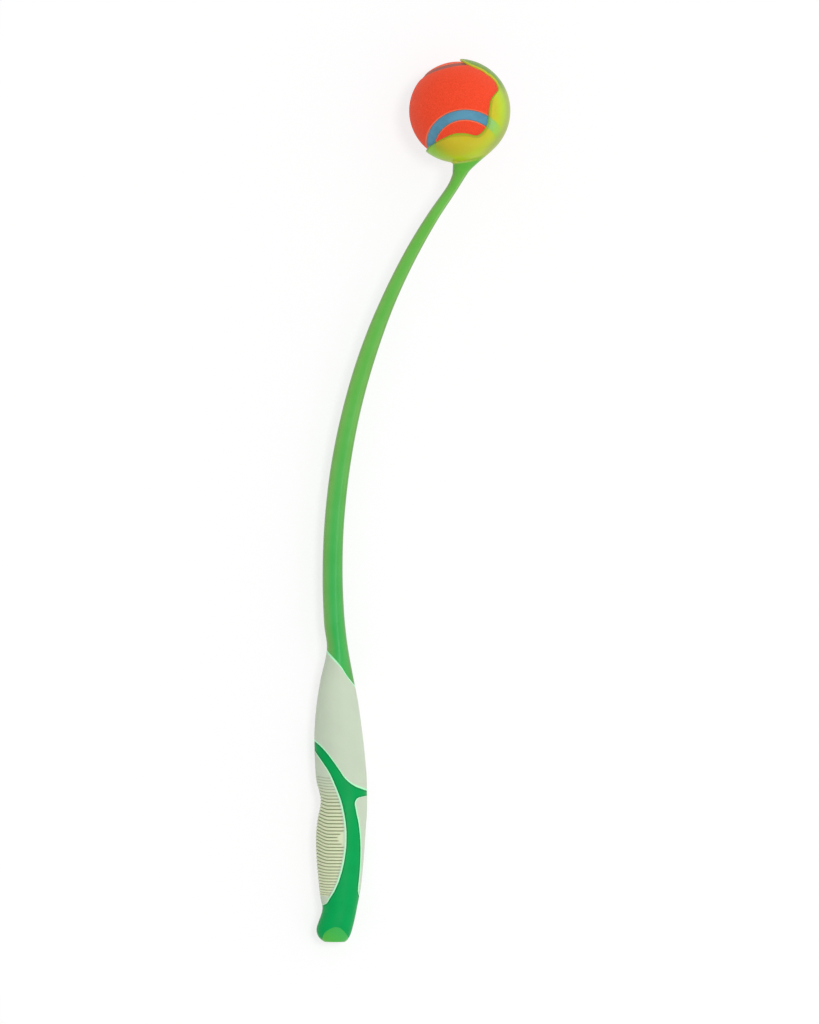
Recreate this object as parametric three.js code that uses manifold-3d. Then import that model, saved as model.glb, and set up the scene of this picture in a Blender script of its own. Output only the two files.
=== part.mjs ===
import * as THREE from 'three';
import { LoftGeometry } from 'three/addons/geometries/LoftGeometry.js';
import { mergeVertices } from 'three/addons/utils/BufferGeometryUtils.js';
import Module from 'manifold-3d';

// A dog ball thrower: a curved arm with a spring cup that holds a tennis-type ball, and a
// handle with soft grips. All lengths are in millimetres and all angles in degrees.
// The pieces are drawn around the ball's centre: X across the thrower, from the front of the
// handle to its back, Y up along it, and Z sideways, where the thrower is the same on both sides.
// The finished thrower is then laid on its side, as it rests on a table.

// Sizes of the ball: two rubber half shells, two felt panels and the seam stripe between them.
const ballRadius = 33;
const feltThickness = 2.6;
const rubberThickness = 3.2;
const seamWidth = 6.6;
const seamRecess = 0.35;
const seamWaveShare = 0.192;
const seamTurn = 305.4;
const seamLean = 11.6;
const seamRoll = 150.2;

// Sizes of the cup. Its opening faces away from the arm, and its rim follows the rim shares.
const cupWall = 1.6;
const cupClearance = 0.35;

// Sizes of the neck and the arm. The arm's middle line is one curve from neck to shoulder.
const neckReach = 53;
const neckOffset = 4.9;
const neckPullAcross = 51.7;
const neckPullDown = 71.8;
const shoulderPullAcross = 14.1;
const shoulderPullUp = 127.6;
const shoulderReach = 361.5;
const shoulderOffset = 81.4;
const armTopDepth = 7.1;
const armTopWidth = 12.5;
const shoulderDepth = 14;
const shoulderWidth = 20;

// Sizes of the handle, which carries on from the shoulder to the butt.
const handleLength = 195.8;
const handleDepth = 34;
const handleWidth = 30;
const handleFront = 96.5;
const shellTop = 34;
const gripThickness = 2;
const tangDepth = 13;
const tangWidth = 15;

// The clearance between pieces that touch, how far a cutting line runs on past the piece that it
// cuts, and how far a cutting block reaches beyond that.
const seamGap = 0.3;
const overrun = 8;
const blockReach = 20;

// How finely curved faces are cut.
const sphereSides = 36;
const hiddenSphereSides = 24;
const sectionSides = 20;
const armSteps = 18;
const handleSteps = 28;
const seamSteps = 44;
const outlineSteps = 20;

// How flat the sides of a section are: 2 is an ellipse, and more is squarer.
const sectionRoundness = 2.3;
const armRoundness = 3.6;

// The cup's rim seen from the side, as shares of the ball's radius from the ball's centre.
const cupRimShares = [
  [-0.572, -0.737], [-0.47, -0.672], [-0.35, -0.611], [-0.2, -0.545], [-0.1, -0.512],
  [0, -0.502], [0.1, -0.499], [0.2, -0.51], [0.3, -0.532], [0.388, -0.539], [0.486, -0.477],
  [0.572, -0.357], [0.618, -0.235], [0.63, -0.08], [0.648, 0.085], [0.684, 0.23], [0.75, 0.325],
  [0.804, 0.387], [0.812, 0.45], [0.79, 0.53], [0.742, 0.61], [0.66, 0.69], [0.581, 0.742],
  [0.463, 0.824], [0.27, 0.905], [0.114, 0.988], [0.055, 1.035],
];
// The neck's sections between cup and arm, as shares of the ball's radius from its centre:
// front edge, back edge, and half the width.
const neckSectionShares = [
  { front: [-0.27, -0.87], back: [0.757, -0.669], side: 0.34 },
  { front: [-0.185, -1.01], back: [0.56, -0.87], side: 0.27 },
  { front: [-0.108, -1.1], back: [0.42, -1.01], side: 0.22 },
  { front: [-0.118, -1.264], back: [0.17, -1.309], side: 0.2 },
];
// The arm's depth along its curve, as shares of the step from its top depth to the shoulder's.
const armDepthShares = [0, 0.21, 0.38, 0.62, 0.73, 0.85, 0.89, 0.95, 1.04];
// The arm's roundness along its curve, as shares of the step from an oval to its flattest.
const armFlatShares = [0, 0.8, 1, 1, 1, 1, 0.9, 0.5, 0.1];
// The handle seen from the side: share of its length down from the shoulder, then the front
// edge, the back edge and half its width as shares of its depth and its width.
const handleSectionShares = [
  [0, 0.245, 0.668, 0.335],
  [0.101, 0.125, 0.775, 0.39],
  [0.181, 0.05, 0.86, 0.44],
  [0.252, 0.012, 0.918, 0.48],
  [0.322, 0, 0.969, 0.5],
  [0.418, 0.024, 1.022, 0.5],
  [0.453, 0.045, 1.031, 0.497],
  [0.478, 0.085, 1.035, 0.49],
  [0.503, 0.116, 1.037, 0.484],
  [0.52, 0.123, 1.037, 0.482],
  [0.543, 0.108, 1.035, 0.484],
  [0.568, 0.075, 1.03, 0.49],
  [0.604, 0.045, 1.014, 0.496],
  [0.644, 0.03, 0.998, 0.5],
  [0.714, 0.042, 0.97, 0.495],
  [0.795, 0.083, 0.925, 0.475],
  [0.85, 0.122, 0.878, 0.45],
  [0.878, 0.157, 0.846, 0.43],
  [0.9, 0.145, 0.822, 0.42],
  [0.931, 0.082, 0.784, 0.416],
  [0.949, 0.048, 0.757, 0.41],
  [0.966, 0.043, 0.731, 0.395],
  [0.982, 0.078, 0.693, 0.365],
  [0.993, 0.137, 0.65, 0.32],
  [1, 0.2, 0.603, 0.27],
];
// The tang's middle and sizes below the shoulder: share of the handle's length, middle as a
// share of the handle's depth, then its depth and width as shares of the tang's own.
const tangSectionShares = [
  [0.12, 0.45, 1, 1],
  [0.3, 0.49, 1, 1],
  [0.5, 0.56, 0.9, 0.95],
  [0.7, 0.52, 0.95, 1],
  [0.86, 0.5, 1, 1],
  [0.95, 0.44, 1.05, 1],
];
// Edges of the three grips seen from the side: shares of the handle's depth and length.
const sleeveTopShares = [
  [0.23, -0.002], [0.33, 0.017], [0.52, 0.053], [0.63, 0.083], [0.73, 0.106], [0.78, 0.117],
];
const sleeveBottomShares = [
  [0, 0.314], [0.125, 0.332], [0.285, 0.363], [0.475, 0.408], [0.605, 0.441], [0.77, 0.465],
  [0.925, 0.477], [1.035, 0.484],
];
const fingerEdgeShares = [
  [0, 0.343], [0.119, 0.372], [0.209, 0.394], [0.314, 0.422], [0.433, 0.468], [0.538, 0.517],
  [0.605, 0.568], [0.638, 0.614], [0.641, 0.649], [0.631, 0.681], [0.583, 0.735], [0.5, 0.787],
  [0.448, 0.809], [0.389, 0.83], [0.314, 0.85], [0.254, 0.867], [0.164, 0.875],
];
const palmEdgeShares = [
  [1.03, 0.499], [0.866, 0.505], [0.807, 0.515], [0.789, 0.527], [0.804, 0.542], [0.829, 0.564],
  [0.859, 0.587], [0.882, 0.614], [0.896, 0.64], [0.907, 0.684], [0.896, 0.744], [0.872, 0.79],
  [0.855, 0.825], [0.875, 0.843],
];

// The arch at the butt through which the tang's foot shows, as shares of depth and length.
const footArchShares = [
  [0.15, 1.011], [0.15, 0.988], [0.2, 0.968], [0.3, 0.955], [0.4, 0.948], [0.5, 0.951],
  [0.59, 0.963], [0.66, 0.981], [0.675, 1.011],
];
// Places where the thrower touches the table when it lies on its side: shares of the handle's
// depth and length.
const restPlaceShares = [
  [0.484, 0.322], [0.514, 0.644],
];

const wasm = await Module();
wasm.setup();

const cupRadius = ballRadius + cupClearance + cupWall;
const shoulderY = -shoulderReach;

// Turns a closed geometry into a solid that can be joined and cut.
function solidOf(geometry) {
  const bare = new THREE.BufferGeometry();
  bare.setAttribute('position', geometry.getAttribute('position'));
  bare.setIndex(geometry.getIndex());
  const merged = mergeVertices(bare);
  return new wasm.Manifold(new wasm.Mesh({
    numProp: 3,
    vertProperties: new Float32Array(merged.attributes.position.array),
    triVerts: new Uint32Array(merged.index.array),
  }));
}

// Turns a solid back into a geometry with flat shading.
function geometryOf(solid) {
  const mesh = solid.getMesh();
  const geometry = new THREE.BufferGeometry();
  geometry.setAttribute('position', new THREE.BufferAttribute(mesh.vertProperties, 3));
  geometry.setIndex(new THREE.BufferAttribute(mesh.triVerts, 1));
  const flat = geometry.toNonIndexed();
  flat.computeVertexNormals();
  return flat;
}

function sphere(radius, sides = sphereSides) {
  return solidOf(new THREE.SphereGeometry(radius, sides, sides / 2));
}

// A side view outline made into a block that cuts through the whole width of the thrower.
function sideBlock(outline, halfWidth) {
  const shape = new THREE.Shape(outline);
  const block = new THREE.ExtrudeGeometry(shape, { depth: 2 * halfWidth, bevelEnabled: false });
  return solidOf(block.translate(0, 0, -halfWidth));
}

// A smooth line through side view points.
function smoothLine(points, steps) {
  return new THREE.SplineCurve(points).getPoints(steps);
}

// Moves a side view line sideways, to its left for a positive distance.
function shiftLine(line, distance) {
  return line.map((point, i) => {
    const before = line[Math.max(i - 1, 0)];
    const after = line[Math.min(i + 1, line.length - 1)];
    const along = after.clone().sub(before).normalize();
    return new THREE.Vector2(point.x - along.y * distance, point.y + along.x * distance);
  });
}

// One section of the thrower: a rounded oval across its middle line. The oval's long way lies
// along the side view direction given, and it is cut back evenly all round by the inset.
function section({ middle, across, depth, width, roundness = sectionRoundness }, inset) {
  const points = [];
  for (let i = 0; i < sectionSides; i += 1) {
    const angle = (i / sectionSides) * 2 * Math.PI;
    const c = Math.cos(angle);
    const s = Math.sin(angle);
    const power = 2 / roundness;
    const out = (depth / 2 - inset) * Math.sign(c) * Math.abs(c) ** power;
    const side = (width / 2 - inset) * Math.sign(s) * Math.abs(s) ** power;
    points.push(new THREE.Vector3(middle.x + across.x * out, middle.y + across.y * out, side));
  }
  return points;
}

// Skins a run of sections, which go down the thrower from the cup towards the butt.
function loft(stations, inset = 0) {
  const sections = stations.map((station) => section(station, inset));
  return solidOf(new LoftGeometry(sections, { capStart: true, capEnd: true }));
}

// A station between two side view edge points.
function stationBetween(front, back, width) {
  const across = back.clone().sub(front);
  const middle = front.clone().add(back).multiplyScalar(0.5);
  return { middle, across: across.clone().normalize(), depth: across.length(), width };
}

// Reads a table of shares at any place between its ends, by straight steps.
function shareAt(shares, place) {
  const position = place * (shares.length - 1);
  const step = Math.min(Math.floor(position), shares.length - 2);
  return THREE.MathUtils.lerp(shares[step], shares[step + 1], position - step);
}

function neckStations() {
  return neckSectionShares.map(({ front, back, side }) => stationBetween(
    new THREE.Vector2(...front).multiplyScalar(ballRadius),
    new THREE.Vector2(...back).multiplyScalar(ballRadius),
    2 * side * ballRadius,
  ));
}

function armCurve() {
  return new THREE.CubicBezierCurve(
    new THREE.Vector2(-neckOffset, -neckReach),
    new THREE.Vector2(-neckOffset - neckPullAcross, -neckReach - neckPullDown),
    new THREE.Vector2(-shoulderOffset - shoulderPullAcross, shoulderY + shoulderPullUp),
    new THREE.Vector2(-shoulderOffset, shoulderY),
  );
}

function armStations() {
  const curve = armCurve();
  const stations = [];
  for (let i = 0; i < armSteps; i += 1) {
    const place = i / armSteps;
    const middle = curve.getPointAt(place);
    const along = curve.getTangentAt(place);
    const across = new THREE.Vector2(-along.y, along.x);
    const share = shareAt(armDepthShares, place);
    const depth = THREE.MathUtils.lerp(armTopDepth, shoulderDepth, share);
    const width = THREE.MathUtils.lerp(armTopWidth, shoulderWidth, place);
    const flat = shareAt(armFlatShares, place);
    const roundness = THREE.MathUtils.lerp(sectionRoundness, armRoundness, flat);
    stations.push({ middle, across, depth, width, roundness });
  }
  return stations;
}

// A side view point of the handle from its shares of depth and length.
function handlePoint([depthShare, lengthShare]) {
  return new THREE.Vector2(
    -handleFront + depthShare * handleDepth,
    shoulderY - lengthShare * handleLength,
  );
}

function handleStations() {
  const fronts = handleSectionShares.map(([down, front]) => handlePoint([front, down]));
  const backs = handleSectionShares.map(([down, , back]) => handlePoint([back, down]));
  const sides = handleSectionShares.map(([down, , , side]) => new THREE.Vector2(down, side));
  const frontLine = smoothLine(fronts, handleSteps);
  const backLine = smoothLine(backs, handleSteps);
  const sideLine = smoothLine(sides, handleSteps);
  return frontLine.map((front, i) => stationBetween(
    front,
    new THREE.Vector2(backLine[i].x, front.y),
    2 * sideLine[i].y * handleWidth,
  ));
}

function tangStations() {
  return tangSectionShares.map(([down, middleShare, depthShare, widthShare]) => ({
    middle: handlePoint([middleShare, down]),
    across: new THREE.Vector2(1, 0),
    depth: depthShare * tangDepth,
    width: widthShare * tangWidth,
  }));
}

// The foot of the thrower, where the tang swells out through an arch in the handle shell.
function footBlock(gap) {
  const arch = extendLine(smoothLine(footArchShares.map(handlePoint), outlineSteps));
  return sideBlock(shiftLine(arch, -gap), handleWidth);
}

// Everything level with or below a share of the handle's length, as a block.
function blockBelow(lengthShare, drop) {
  const top = shoulderY - lengthShare * handleLength - drop;
  const bottom = shoulderY - handleLength - blockReach;
  const left = -handleFront - blockReach;
  const right = -handleFront + handleDepth + blockReach;
  return sideBlock([
    new THREE.Vector2(left, bottom),
    new THREE.Vector2(right, bottom),
    new THREE.Vector2(right, top),
    new THREE.Vector2(left, top),
  ], handleWidth);
}

// The upper grip's place seen from the side: between its slanted top and its lower edge.
function sleeveBlock(gap) {
  const top = extendLine(smoothLine(sleeveTopShares.map(handlePoint), outlineSteps));
  const bottom = extendLine(smoothLine(sleeveBottomShares.map(handlePoint), outlineSteps));
  return sideBlock([...shiftLine(bottom, gap), ...shiftLine(top, -gap).reverse()], handleWidth);
}

// The finger grip's place: everything in front of its curved edge.
function fingerBlock(gap) {
  const edge = extendLine(smoothLine(fingerEdgeShares.map(handlePoint), outlineSteps));
  const inside = shiftLine(edge, -gap);
  const front = -handleFront - blockReach;
  const outline = [
    new THREE.Vector2(front, inside[0].y),
    new THREE.Vector2(front, inside[inside.length - 1].y),
    ...inside.reverse(),
  ];
  return sideBlock(outline, handleWidth);
}

// The palm grip's place: everything behind its curved edge.
function palmBlock(gap) {
  const edge = extendLine(smoothLine(palmEdgeShares.map(handlePoint), outlineSteps));
  const inside = shiftLine(edge, gap);
  const back = -handleFront + handleDepth + blockReach;
  const outline = [
    ...inside,
    new THREE.Vector2(back, inside[inside.length - 1].y),
    new THREE.Vector2(back, inside[0].y),
  ];
  return sideBlock(outline, handleWidth);
}

// Carries a side view line straight on past both of its ends, so that it cuts right through.
function extendLine(line) {
  const first = line[0].clone();
  const last = line[line.length - 1].clone();
  const before = first.clone().sub(line[1]).setLength(overrun).add(first);
  const after = last.clone().sub(line[line.length - 2]).setLength(overrun).add(last);
  return [before, ...line, after];
}

// The cup: the part of a thin sphere round the ball that lies behind its rim.
function cupBlock() {
  const rim = cupRimShares.map(([x, y]) => new THREE.Vector2(x, y).multiplyScalar(ballRadius));
  const edge = extendLine(smoothLine(rim, outlineSteps));
  const first = edge[0];
  const last = edge[edge.length - 1];
  const reach = cupRadius + blockReach;
  return sideBlock([
    ...edge,
    new THREE.Vector2(last.x, reach),
    new THREE.Vector2(reach, reach),
    new THREE.Vector2(reach, -reach),
    new THREE.Vector2(first.x, -reach),
  ], reach);
}

function outerStations() {
  return [...neckStations(), ...armStations(), ...handleStations()];
}

const outerBody = loft(outerStations());
const underGrips = loft(outerStations(), gripThickness + seamGap);
const gripInside = loft(outerStations(), gripThickness);

function armSolid() {
  const ballSpace = sphere(ballRadius + cupClearance);
  const cup = sphere(cupRadius).intersect(cupBlock());
  const belowSleeveTop = sleeveBlock(0).add(blockBelow(sleeveBottomShares[0][1], 0));
  const bare = outerBody.subtract(belowSleeveTop);
  const shoulder = underGrips.subtract(shellBlock(0));
  const tang = loft(tangStations());
  const foot = outerBody.intersect(footBlock(seamGap));
  return cup.add(bare).add(shoulder).add(tang).add(foot).subtract(ballSpace);
}

// Everything below the top of the handle shell, where the shoulder ends.
function shellBlock(gap) {
  return blockBelow(shellTop / handleLength, gap);
}

function handleShellSolid() {
  const covered = sleeveBlock(0).add(fingerBlock(0)).add(palmBlock(0));
  const gripRoom = covered.subtract(underGrips);
  const tangRoom = loft(tangStations(), -seamGap).add(footBlock(0));
  const body = outerBody.intersect(shellBlock(seamGap));
  return largestBody(body.subtract(gripRoom).subtract(tangRoom));
}

// Drops the paper-thin slivers that a cut along an almost level face can leave behind.
function largestBody(solid) {
  return solid.decompose().reduce((a, b) => (a.volume() > b.volume() ? a : b));
}

function gripSolid(block) {
  return outerBody.intersect(block).subtract(gripInside);
}

// The seam line of a tennis-type ball: a closed wave round the sphere, one unit in radius.
function seamPoint(turn) {
  const wide = 1 - seamWaveShare;
  const angle = turn * 2 * Math.PI;
  return new THREE.Vector3(
    wide * Math.cos(angle) + seamWaveShare * Math.cos(3 * angle),
    wide * Math.sin(angle) - seamWaveShare * Math.sin(3 * angle),
    2 * Math.sqrt(wide * seamWaveShare) * Math.sin(2 * angle),
  );
}

// One stretch of the seam stripe: a bar with square edges that points at the ball's centre.
function seamStretch(from, to, width, outerRadius, innerRadius) {
  const sections = [];
  const steps = Math.round((to - from) * seamSteps);
  for (let i = 0; i <= steps; i += 1) {
    const turn = from + ((to - from) * i) / steps;
    const out = seamPoint(turn);
    const ahead = seamPoint(turn + 1 / (4 * seamSteps));
    const along = ahead.sub(out).normalize();
    const side = new THREE.Vector3().crossVectors(along, out);
    const corner = (radius, half) => out.clone().multiplyScalar(radius).addScaledVector(side, half);
    sections.push([
      corner(outerRadius, -width / 2),
      corner(outerRadius, width / 2),
      corner(innerRadius, width / 2),
      corner(innerRadius, -width / 2),
    ]);
  }
  return solidOf(new LoftGeometry(sections, { capStart: true, capEnd: true }));
}

// The whole closed stripe, from two stretches that overlap a little.
function seamRing(width, outerRadius, innerRadius) {
  const lap = 1 / seamSteps;
  const first = seamStretch(0, 0.5 + lap, width, outerRadius, innerRadius);
  const second = seamStretch(0.5, 1 + lap, width, outerRadius, innerRadius);
  return first.add(second);
}

// The room that the seam stripe takes through the felt, widened by a gap on either side.
function seamRoom(gap) {
  const innerRadius = ballRadius - feltThickness - overrun;
  return seamRing(seamWidth + 2 * gap, ballRadius + overrun, innerRadius);
}

// The hollow inside the felt, which is cut as coarsely as the hidden rubber that fills it.
function feltInside() {
  return sphere(ballRadius - feltThickness, hiddenSphereSides);
}

// The two felt panels. The first lies over the lower pole of the seam's wave.
function feltPanels() {
  const shell = sphere(ballRadius).subtract(feltInside());
  const panels = shell.subtract(seamRoom(seamGap)).decompose();
  return panels.sort((a, b) => a.boundingBox().min[2] - b.boundingBox().min[2]);
}

function seamSolid() {
  const shell = sphere(ballRadius - seamRecess).subtract(feltInside());
  return shell.intersect(seamRoom(0));
}

// One of the two rubber half shells that meet at the ball's middle.
function rubberHalf(upper) {
  const outerRadius = ballRadius - feltThickness - seamGap;
  const outside = sphere(outerRadius, hiddenSphereSides);
  const hollow = sphere(outerRadius - rubberThickness, hiddenSphereSides);
  const side = 2 * outerRadius;
  const rise = (side + seamGap) / 2;
  const half = new THREE.BoxGeometry(side, side, side);
  half.translate(0, upper ? rise : -rise, 0);
  return outside.subtract(hollow).intersect(solidOf(half));
}

// Finishes of the pieces, with their colours as seen on the real object.
function plastic(color, roughness) {
  return new THREE.MeshStandardMaterial({ color, roughness, metalness: 0 });
}
const armPlastic = plastic(0x55b44b, 0.3);
const shellPlastic = plastic(0x03a85a, 0.35);
const gripRubber = plastic(0xc8d7be, 0.75);
const ballRubber = plastic(0x5a5a5c, 0.85);
const orangeFelt = plastic(0xf05028, 0.95);
const seamBlue = plastic(0x5091af, 0.8);

function piece(name, solid, material) {
  const mesh = new THREE.Mesh(geometryOf(solid), material);
  mesh.name = name;
  return mesh;
}

function ball() {
  const group = new THREE.Group();
  const [front, back] = feltPanels();
  group.add(
    piece('ball_shell_upper', rubberHalf(true), ballRubber),
    piece('ball_shell_lower', rubberHalf(false), ballRubber),
    piece('felt_panel_front', front, orangeFelt),
    piece('felt_panel_back', back, orangeFelt),
    piece('seam_band', seamSolid(), seamBlue),
  );
  const toRadians = THREE.MathUtils.degToRad;
  group.rotation.set(toRadians(seamRoll), toRadians(seamLean), toRadians(seamTurn));
  return group;
}

function thrower() {
  const group = new THREE.Group();
  group.add(
    piece('arm', armSolid(), armPlastic),
    piece('handle_shell', handleShellSolid(), shellPlastic),
    piece('upper_grip', gripSolid(sleeveBlock(seamGap)), gripRubber),
    piece('finger_grip', gripSolid(fingerBlock(seamGap)), gripRubber),
    piece('palm_grip', gripSolid(palmBlock(seamGap)), gripRubber),
    ball(),
  );
  return group;
}

// The table's upward direction, seen from the thrower as it lies on the ball and on two places
// of the handle. A place lies as far over the table as its piece is thick there.
function restDirection() {
  const [upper, lower] = restPlaceShares.map(handlePoint);
  const drop = handleWidth / 2 - ballRadius;
  const area = upper.x * lower.y - lower.x * upper.y;
  const acrossLean = (drop * (lower.y - upper.y)) / area;
  const alongLean = (drop * (upper.x - lower.x)) / area;
  const up = Math.sqrt(1 - acrossLean ** 2 - alongLean ** 2);
  return new THREE.Vector3(acrossLean, alongLean, up);
}

// Lays the thrower on its side, with the origin on the table under the middle of its box.
function laidDown(group) {
  const up = new THREE.Vector3(0, 0, 1);
  group.quaternion.setFromUnitVectors(restDirection(), up);
  const box = new THREE.Box3().setFromObject(group, true);
  const middle = box.getCenter(new THREE.Vector3());
  group.position.set(-middle.x, -middle.y, -box.min.z);
  return group;
}

const launcher = new THREE.Group();
launcher.name = 'dog_ball_thrower';
launcher.add(laidDown(thrower()));

export default launcher;
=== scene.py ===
"""A dog ball thrower: a curved arm with a spring cup, a felt ball and a handle with soft grips.

The thrower is drawn around the ball's centre, as its side view shows it: X across it from the
front of the handle to the back, Y up along it and Z sideways. It is then laid on the table.
"""

import bisect
import math

import bmesh
import bpy
from mathutils import Matrix, Vector


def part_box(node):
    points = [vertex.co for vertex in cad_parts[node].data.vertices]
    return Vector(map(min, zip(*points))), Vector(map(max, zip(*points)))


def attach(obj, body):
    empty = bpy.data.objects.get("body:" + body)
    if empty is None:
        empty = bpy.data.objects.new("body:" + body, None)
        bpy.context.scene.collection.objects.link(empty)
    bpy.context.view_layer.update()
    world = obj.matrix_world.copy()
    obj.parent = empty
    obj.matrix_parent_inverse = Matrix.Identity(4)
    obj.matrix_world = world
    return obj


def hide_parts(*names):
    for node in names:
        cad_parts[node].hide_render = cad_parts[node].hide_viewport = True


bl_info = {
    "name": "Dog Ball Thrower",
    "version": (1, 0, 0),
    "blender": (4, 5, 0),
    "location": "View3D > Sidebar > Ball Thrower",
    "description": "Models the arm, cup, handle, grips and felt ball of a dog ball thrower",
    "category": "Object",
}

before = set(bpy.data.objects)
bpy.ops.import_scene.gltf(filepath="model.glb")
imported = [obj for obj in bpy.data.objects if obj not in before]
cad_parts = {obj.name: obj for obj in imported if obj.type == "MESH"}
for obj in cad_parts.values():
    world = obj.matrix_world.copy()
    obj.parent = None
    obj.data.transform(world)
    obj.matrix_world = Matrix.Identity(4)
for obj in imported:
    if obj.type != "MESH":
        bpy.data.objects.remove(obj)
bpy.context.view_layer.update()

# What all pieces share: lengths in metres, and the angle from which an edge looks sharp.
MILLIMETRE = 0.001
WELD_DISTANCE = 0.001 * MILLIMETRE
SHARP_ANGLE = math.radians(50)
SEAM_GAP = 0.3 * MILLIMETRE

# Places of the neck, the shoulder and the handle's front from the ball's centre, and the pull on
# both ends of the arm's curve.
NECK_REACH = 53 * MILLIMETRE
NECK_OFFSET = 4.9 * MILLIMETRE
NECK_PULL = Vector((51.7, 71.8)) * MILLIMETRE
SHOULDER_PULL = Vector((14.1, 127.6)) * MILLIMETRE
SHOULDER_REACH = 361.5 * MILLIMETRE
SHOULDER_OFFSET = 81.4 * MILLIMETRE
HANDLE_FRONT = 96.5 * MILLIMETRE

# How far below the shoulder the shell begins, and the depth and width of the tang inside it.
SHELL_TOP = 34 * MILLIMETRE
TANG_DEPTH = 13 * MILLIMETRE
TANG_WIDTH = 15 * MILLIMETRE

# How far the shell keeps its outside under a grip's edge, and the width of its step down there.
SHELL_LIP = 0.9 * MILLIMETRE
SHELL_WALL = 0.8 * MILLIMETRE

# The ball's seam is a wave round it, and the ball is turned in the cup by these angles.
SEAM_WAVE_SHARE = 0.192
SEAM_TURN, SEAM_LEAN, SEAM_ROLL = (math.radians(angle) for angle in (305.4, 11.6, 150.2))

# The gap between the seam stripe and each felt panel, the radius of the stripe's corners and the
# depth of the hollow along its middle.
PANEL_GAP = 0.1 * MILLIMETRE
STRIPE_CORNER = 0.35 * MILLIMETRE
STRIPE_HOLLOW = 0.12 * MILLIMETRE

# The cup's rim seen from the side, as shares of the ball's radius from its centre.
CUP_RIM_SHARES = (
    (-0.572, -0.737), (-0.47, -0.672), (-0.35, -0.611), (-0.2, -0.545), (-0.1, -0.512),
    (0, -0.502), (0.1, -0.499), (0.2, -0.51), (0.3, -0.532), (0.388, -0.539), (0.486, -0.477),
    (0.572, -0.357), (0.618, -0.235), (0.63, -0.08), (0.648, 0.085), (0.684, 0.23),
    (0.75, 0.325), (0.804, 0.387), (0.812, 0.45), (0.79, 0.53), (0.742, 0.61), (0.66, 0.69),
    (0.581, 0.742), (0.463, 0.824), (0.27, 0.905), (0.114, 0.988), (0.055, 1.035),
    (0.035, 1.06),
)
# The neck's sections below the cup, as shares of the ball's radius from its centre: front edge,
# back edge and half the width.
NECK_SECTION_SHARES = (
    ((-0.11, -1.12), (0.392, -1.065), 0.25),
    ((-0.116, -1.215), (0.243, -1.205), 0.215),
    ((-0.128, -1.31), (0.15, -1.335), 0.195),
)
# The arm's depth along its curve, as shares of the step from its top depth to the shoulder's.
ARM_DEPTH_SHARES = (0, 0.21, 0.38, 0.62, 0.73, 0.85, 0.89, 0.95, 1.04)
# The arm's roundness along its curve, as shares of the step from an oval to its flattest.
ARM_FLAT_SHARES = (0, 0.8, 1, 1, 1, 1, 0.9, 0.5, 0.1)
# The handle seen from the side: share of its length down from the shoulder, then the front
# edge, the back edge and half its width as shares of its depth and its width.
HANDLE_SECTION_SHARES = (
    (0, 0.245, 0.668, 0.335),
    (0.101, 0.125, 0.775, 0.39),
    (0.181, 0.05, 0.86, 0.44),
    (0.252, 0.012, 0.918, 0.48),
    (0.322, 0, 0.969, 0.5),
    (0.418, 0.024, 1.022, 0.5),
    (0.453, 0.045, 1.031, 0.497),
    (0.478, 0.085, 1.035, 0.49),
    (0.503, 0.116, 1.037, 0.484),
    (0.52, 0.123, 1.037, 0.482),
    (0.543, 0.108, 1.035, 0.484),
    (0.568, 0.075, 1.03, 0.49),
    (0.604, 0.045, 1.014, 0.496),
    (0.644, 0.03, 0.998, 0.5),
    (0.714, 0.042, 0.97, 0.495),
    (0.795, 0.083, 0.925, 0.475),
    (0.85, 0.122, 0.878, 0.45),
    (0.878, 0.157, 0.846, 0.43),
    (0.9, 0.145, 0.822, 0.42),
    (0.931, 0.082, 0.784, 0.416),
    (0.949, 0.048, 0.757, 0.41),
    (0.966, 0.043, 0.731, 0.395),
    (0.982, 0.078, 0.693, 0.365),
    (0.993, 0.137, 0.65, 0.32),
    (1, 0.2, 0.603, 0.27),
)
# The tang inside the handle: share of the handle's length, its middle as a share of the
# handle's depth, then its depth and width as shares of its own sizes.
TANG_SECTION_SHARES = (
    (0.18, 0.46, 1, 1), (0.3, 0.49, 1, 1), (0.5, 0.56, 0.9, 0.95), (0.7, 0.52, 0.95, 1),
    (0.86, 0.5, 1, 1), (0.95, 0.44, 1.05, 1),
)
# Edges of the three grips seen from the side, as shares of the handle's depth and length.
SLEEVE_TOP_SHARES = (
    (0.23, -0.002), (0.33, 0.017), (0.52, 0.053), (0.63, 0.083), (0.73, 0.106), (0.78, 0.117),
)
SLEEVE_BOTTOM_SHARES = (
    (0, 0.314), (0.125, 0.332), (0.285, 0.363), (0.475, 0.408), (0.605, 0.441), (0.77, 0.465),
    (0.925, 0.477), (1.035, 0.484),
)
FINGER_EDGE_SHARES = (
    (0, 0.343), (0.119, 0.372), (0.209, 0.394), (0.314, 0.422), (0.433, 0.468), (0.538, 0.517),
    (0.605, 0.568), (0.638, 0.614), (0.641, 0.649), (0.631, 0.681), (0.583, 0.735),
    (0.5, 0.787), (0.448, 0.809), (0.389, 0.83), (0.314, 0.85), (0.254, 0.867), (0.164, 0.875),
)
PALM_EDGE_SHARES = (
    (1.036, 0.499), (0.866, 0.505), (0.807, 0.515), (0.789, 0.527), (0.804, 0.542),
    (0.829, 0.564), (0.859, 0.587), (0.882, 0.614), (0.896, 0.64), (0.907, 0.684),
    (0.896, 0.744), (0.872, 0.79), (0.855, 0.825), (0.885, 0.846),
)
# Middles of the grooves between the finger grip's ribs: share of the handle's length, and how
# many grooves lie above.
RIB_PLACES = (
    (0.4385, 0), (0.4775, 4), (0.5217, 8), (0.5703, 12), (0.619, 16), (0.6642, 20), (0.709, 24),
    (0.7532, 28), (0.7933, 32), (0.8317, 36), (0.8385, 37),
)
# The smooth notch in the ribs: its middle and its radii, as shares of depth and length.
NOTCH_MIDDLE, NOTCH_RADII = (0.605, 0.6456), (0.18, 0.032)
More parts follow.
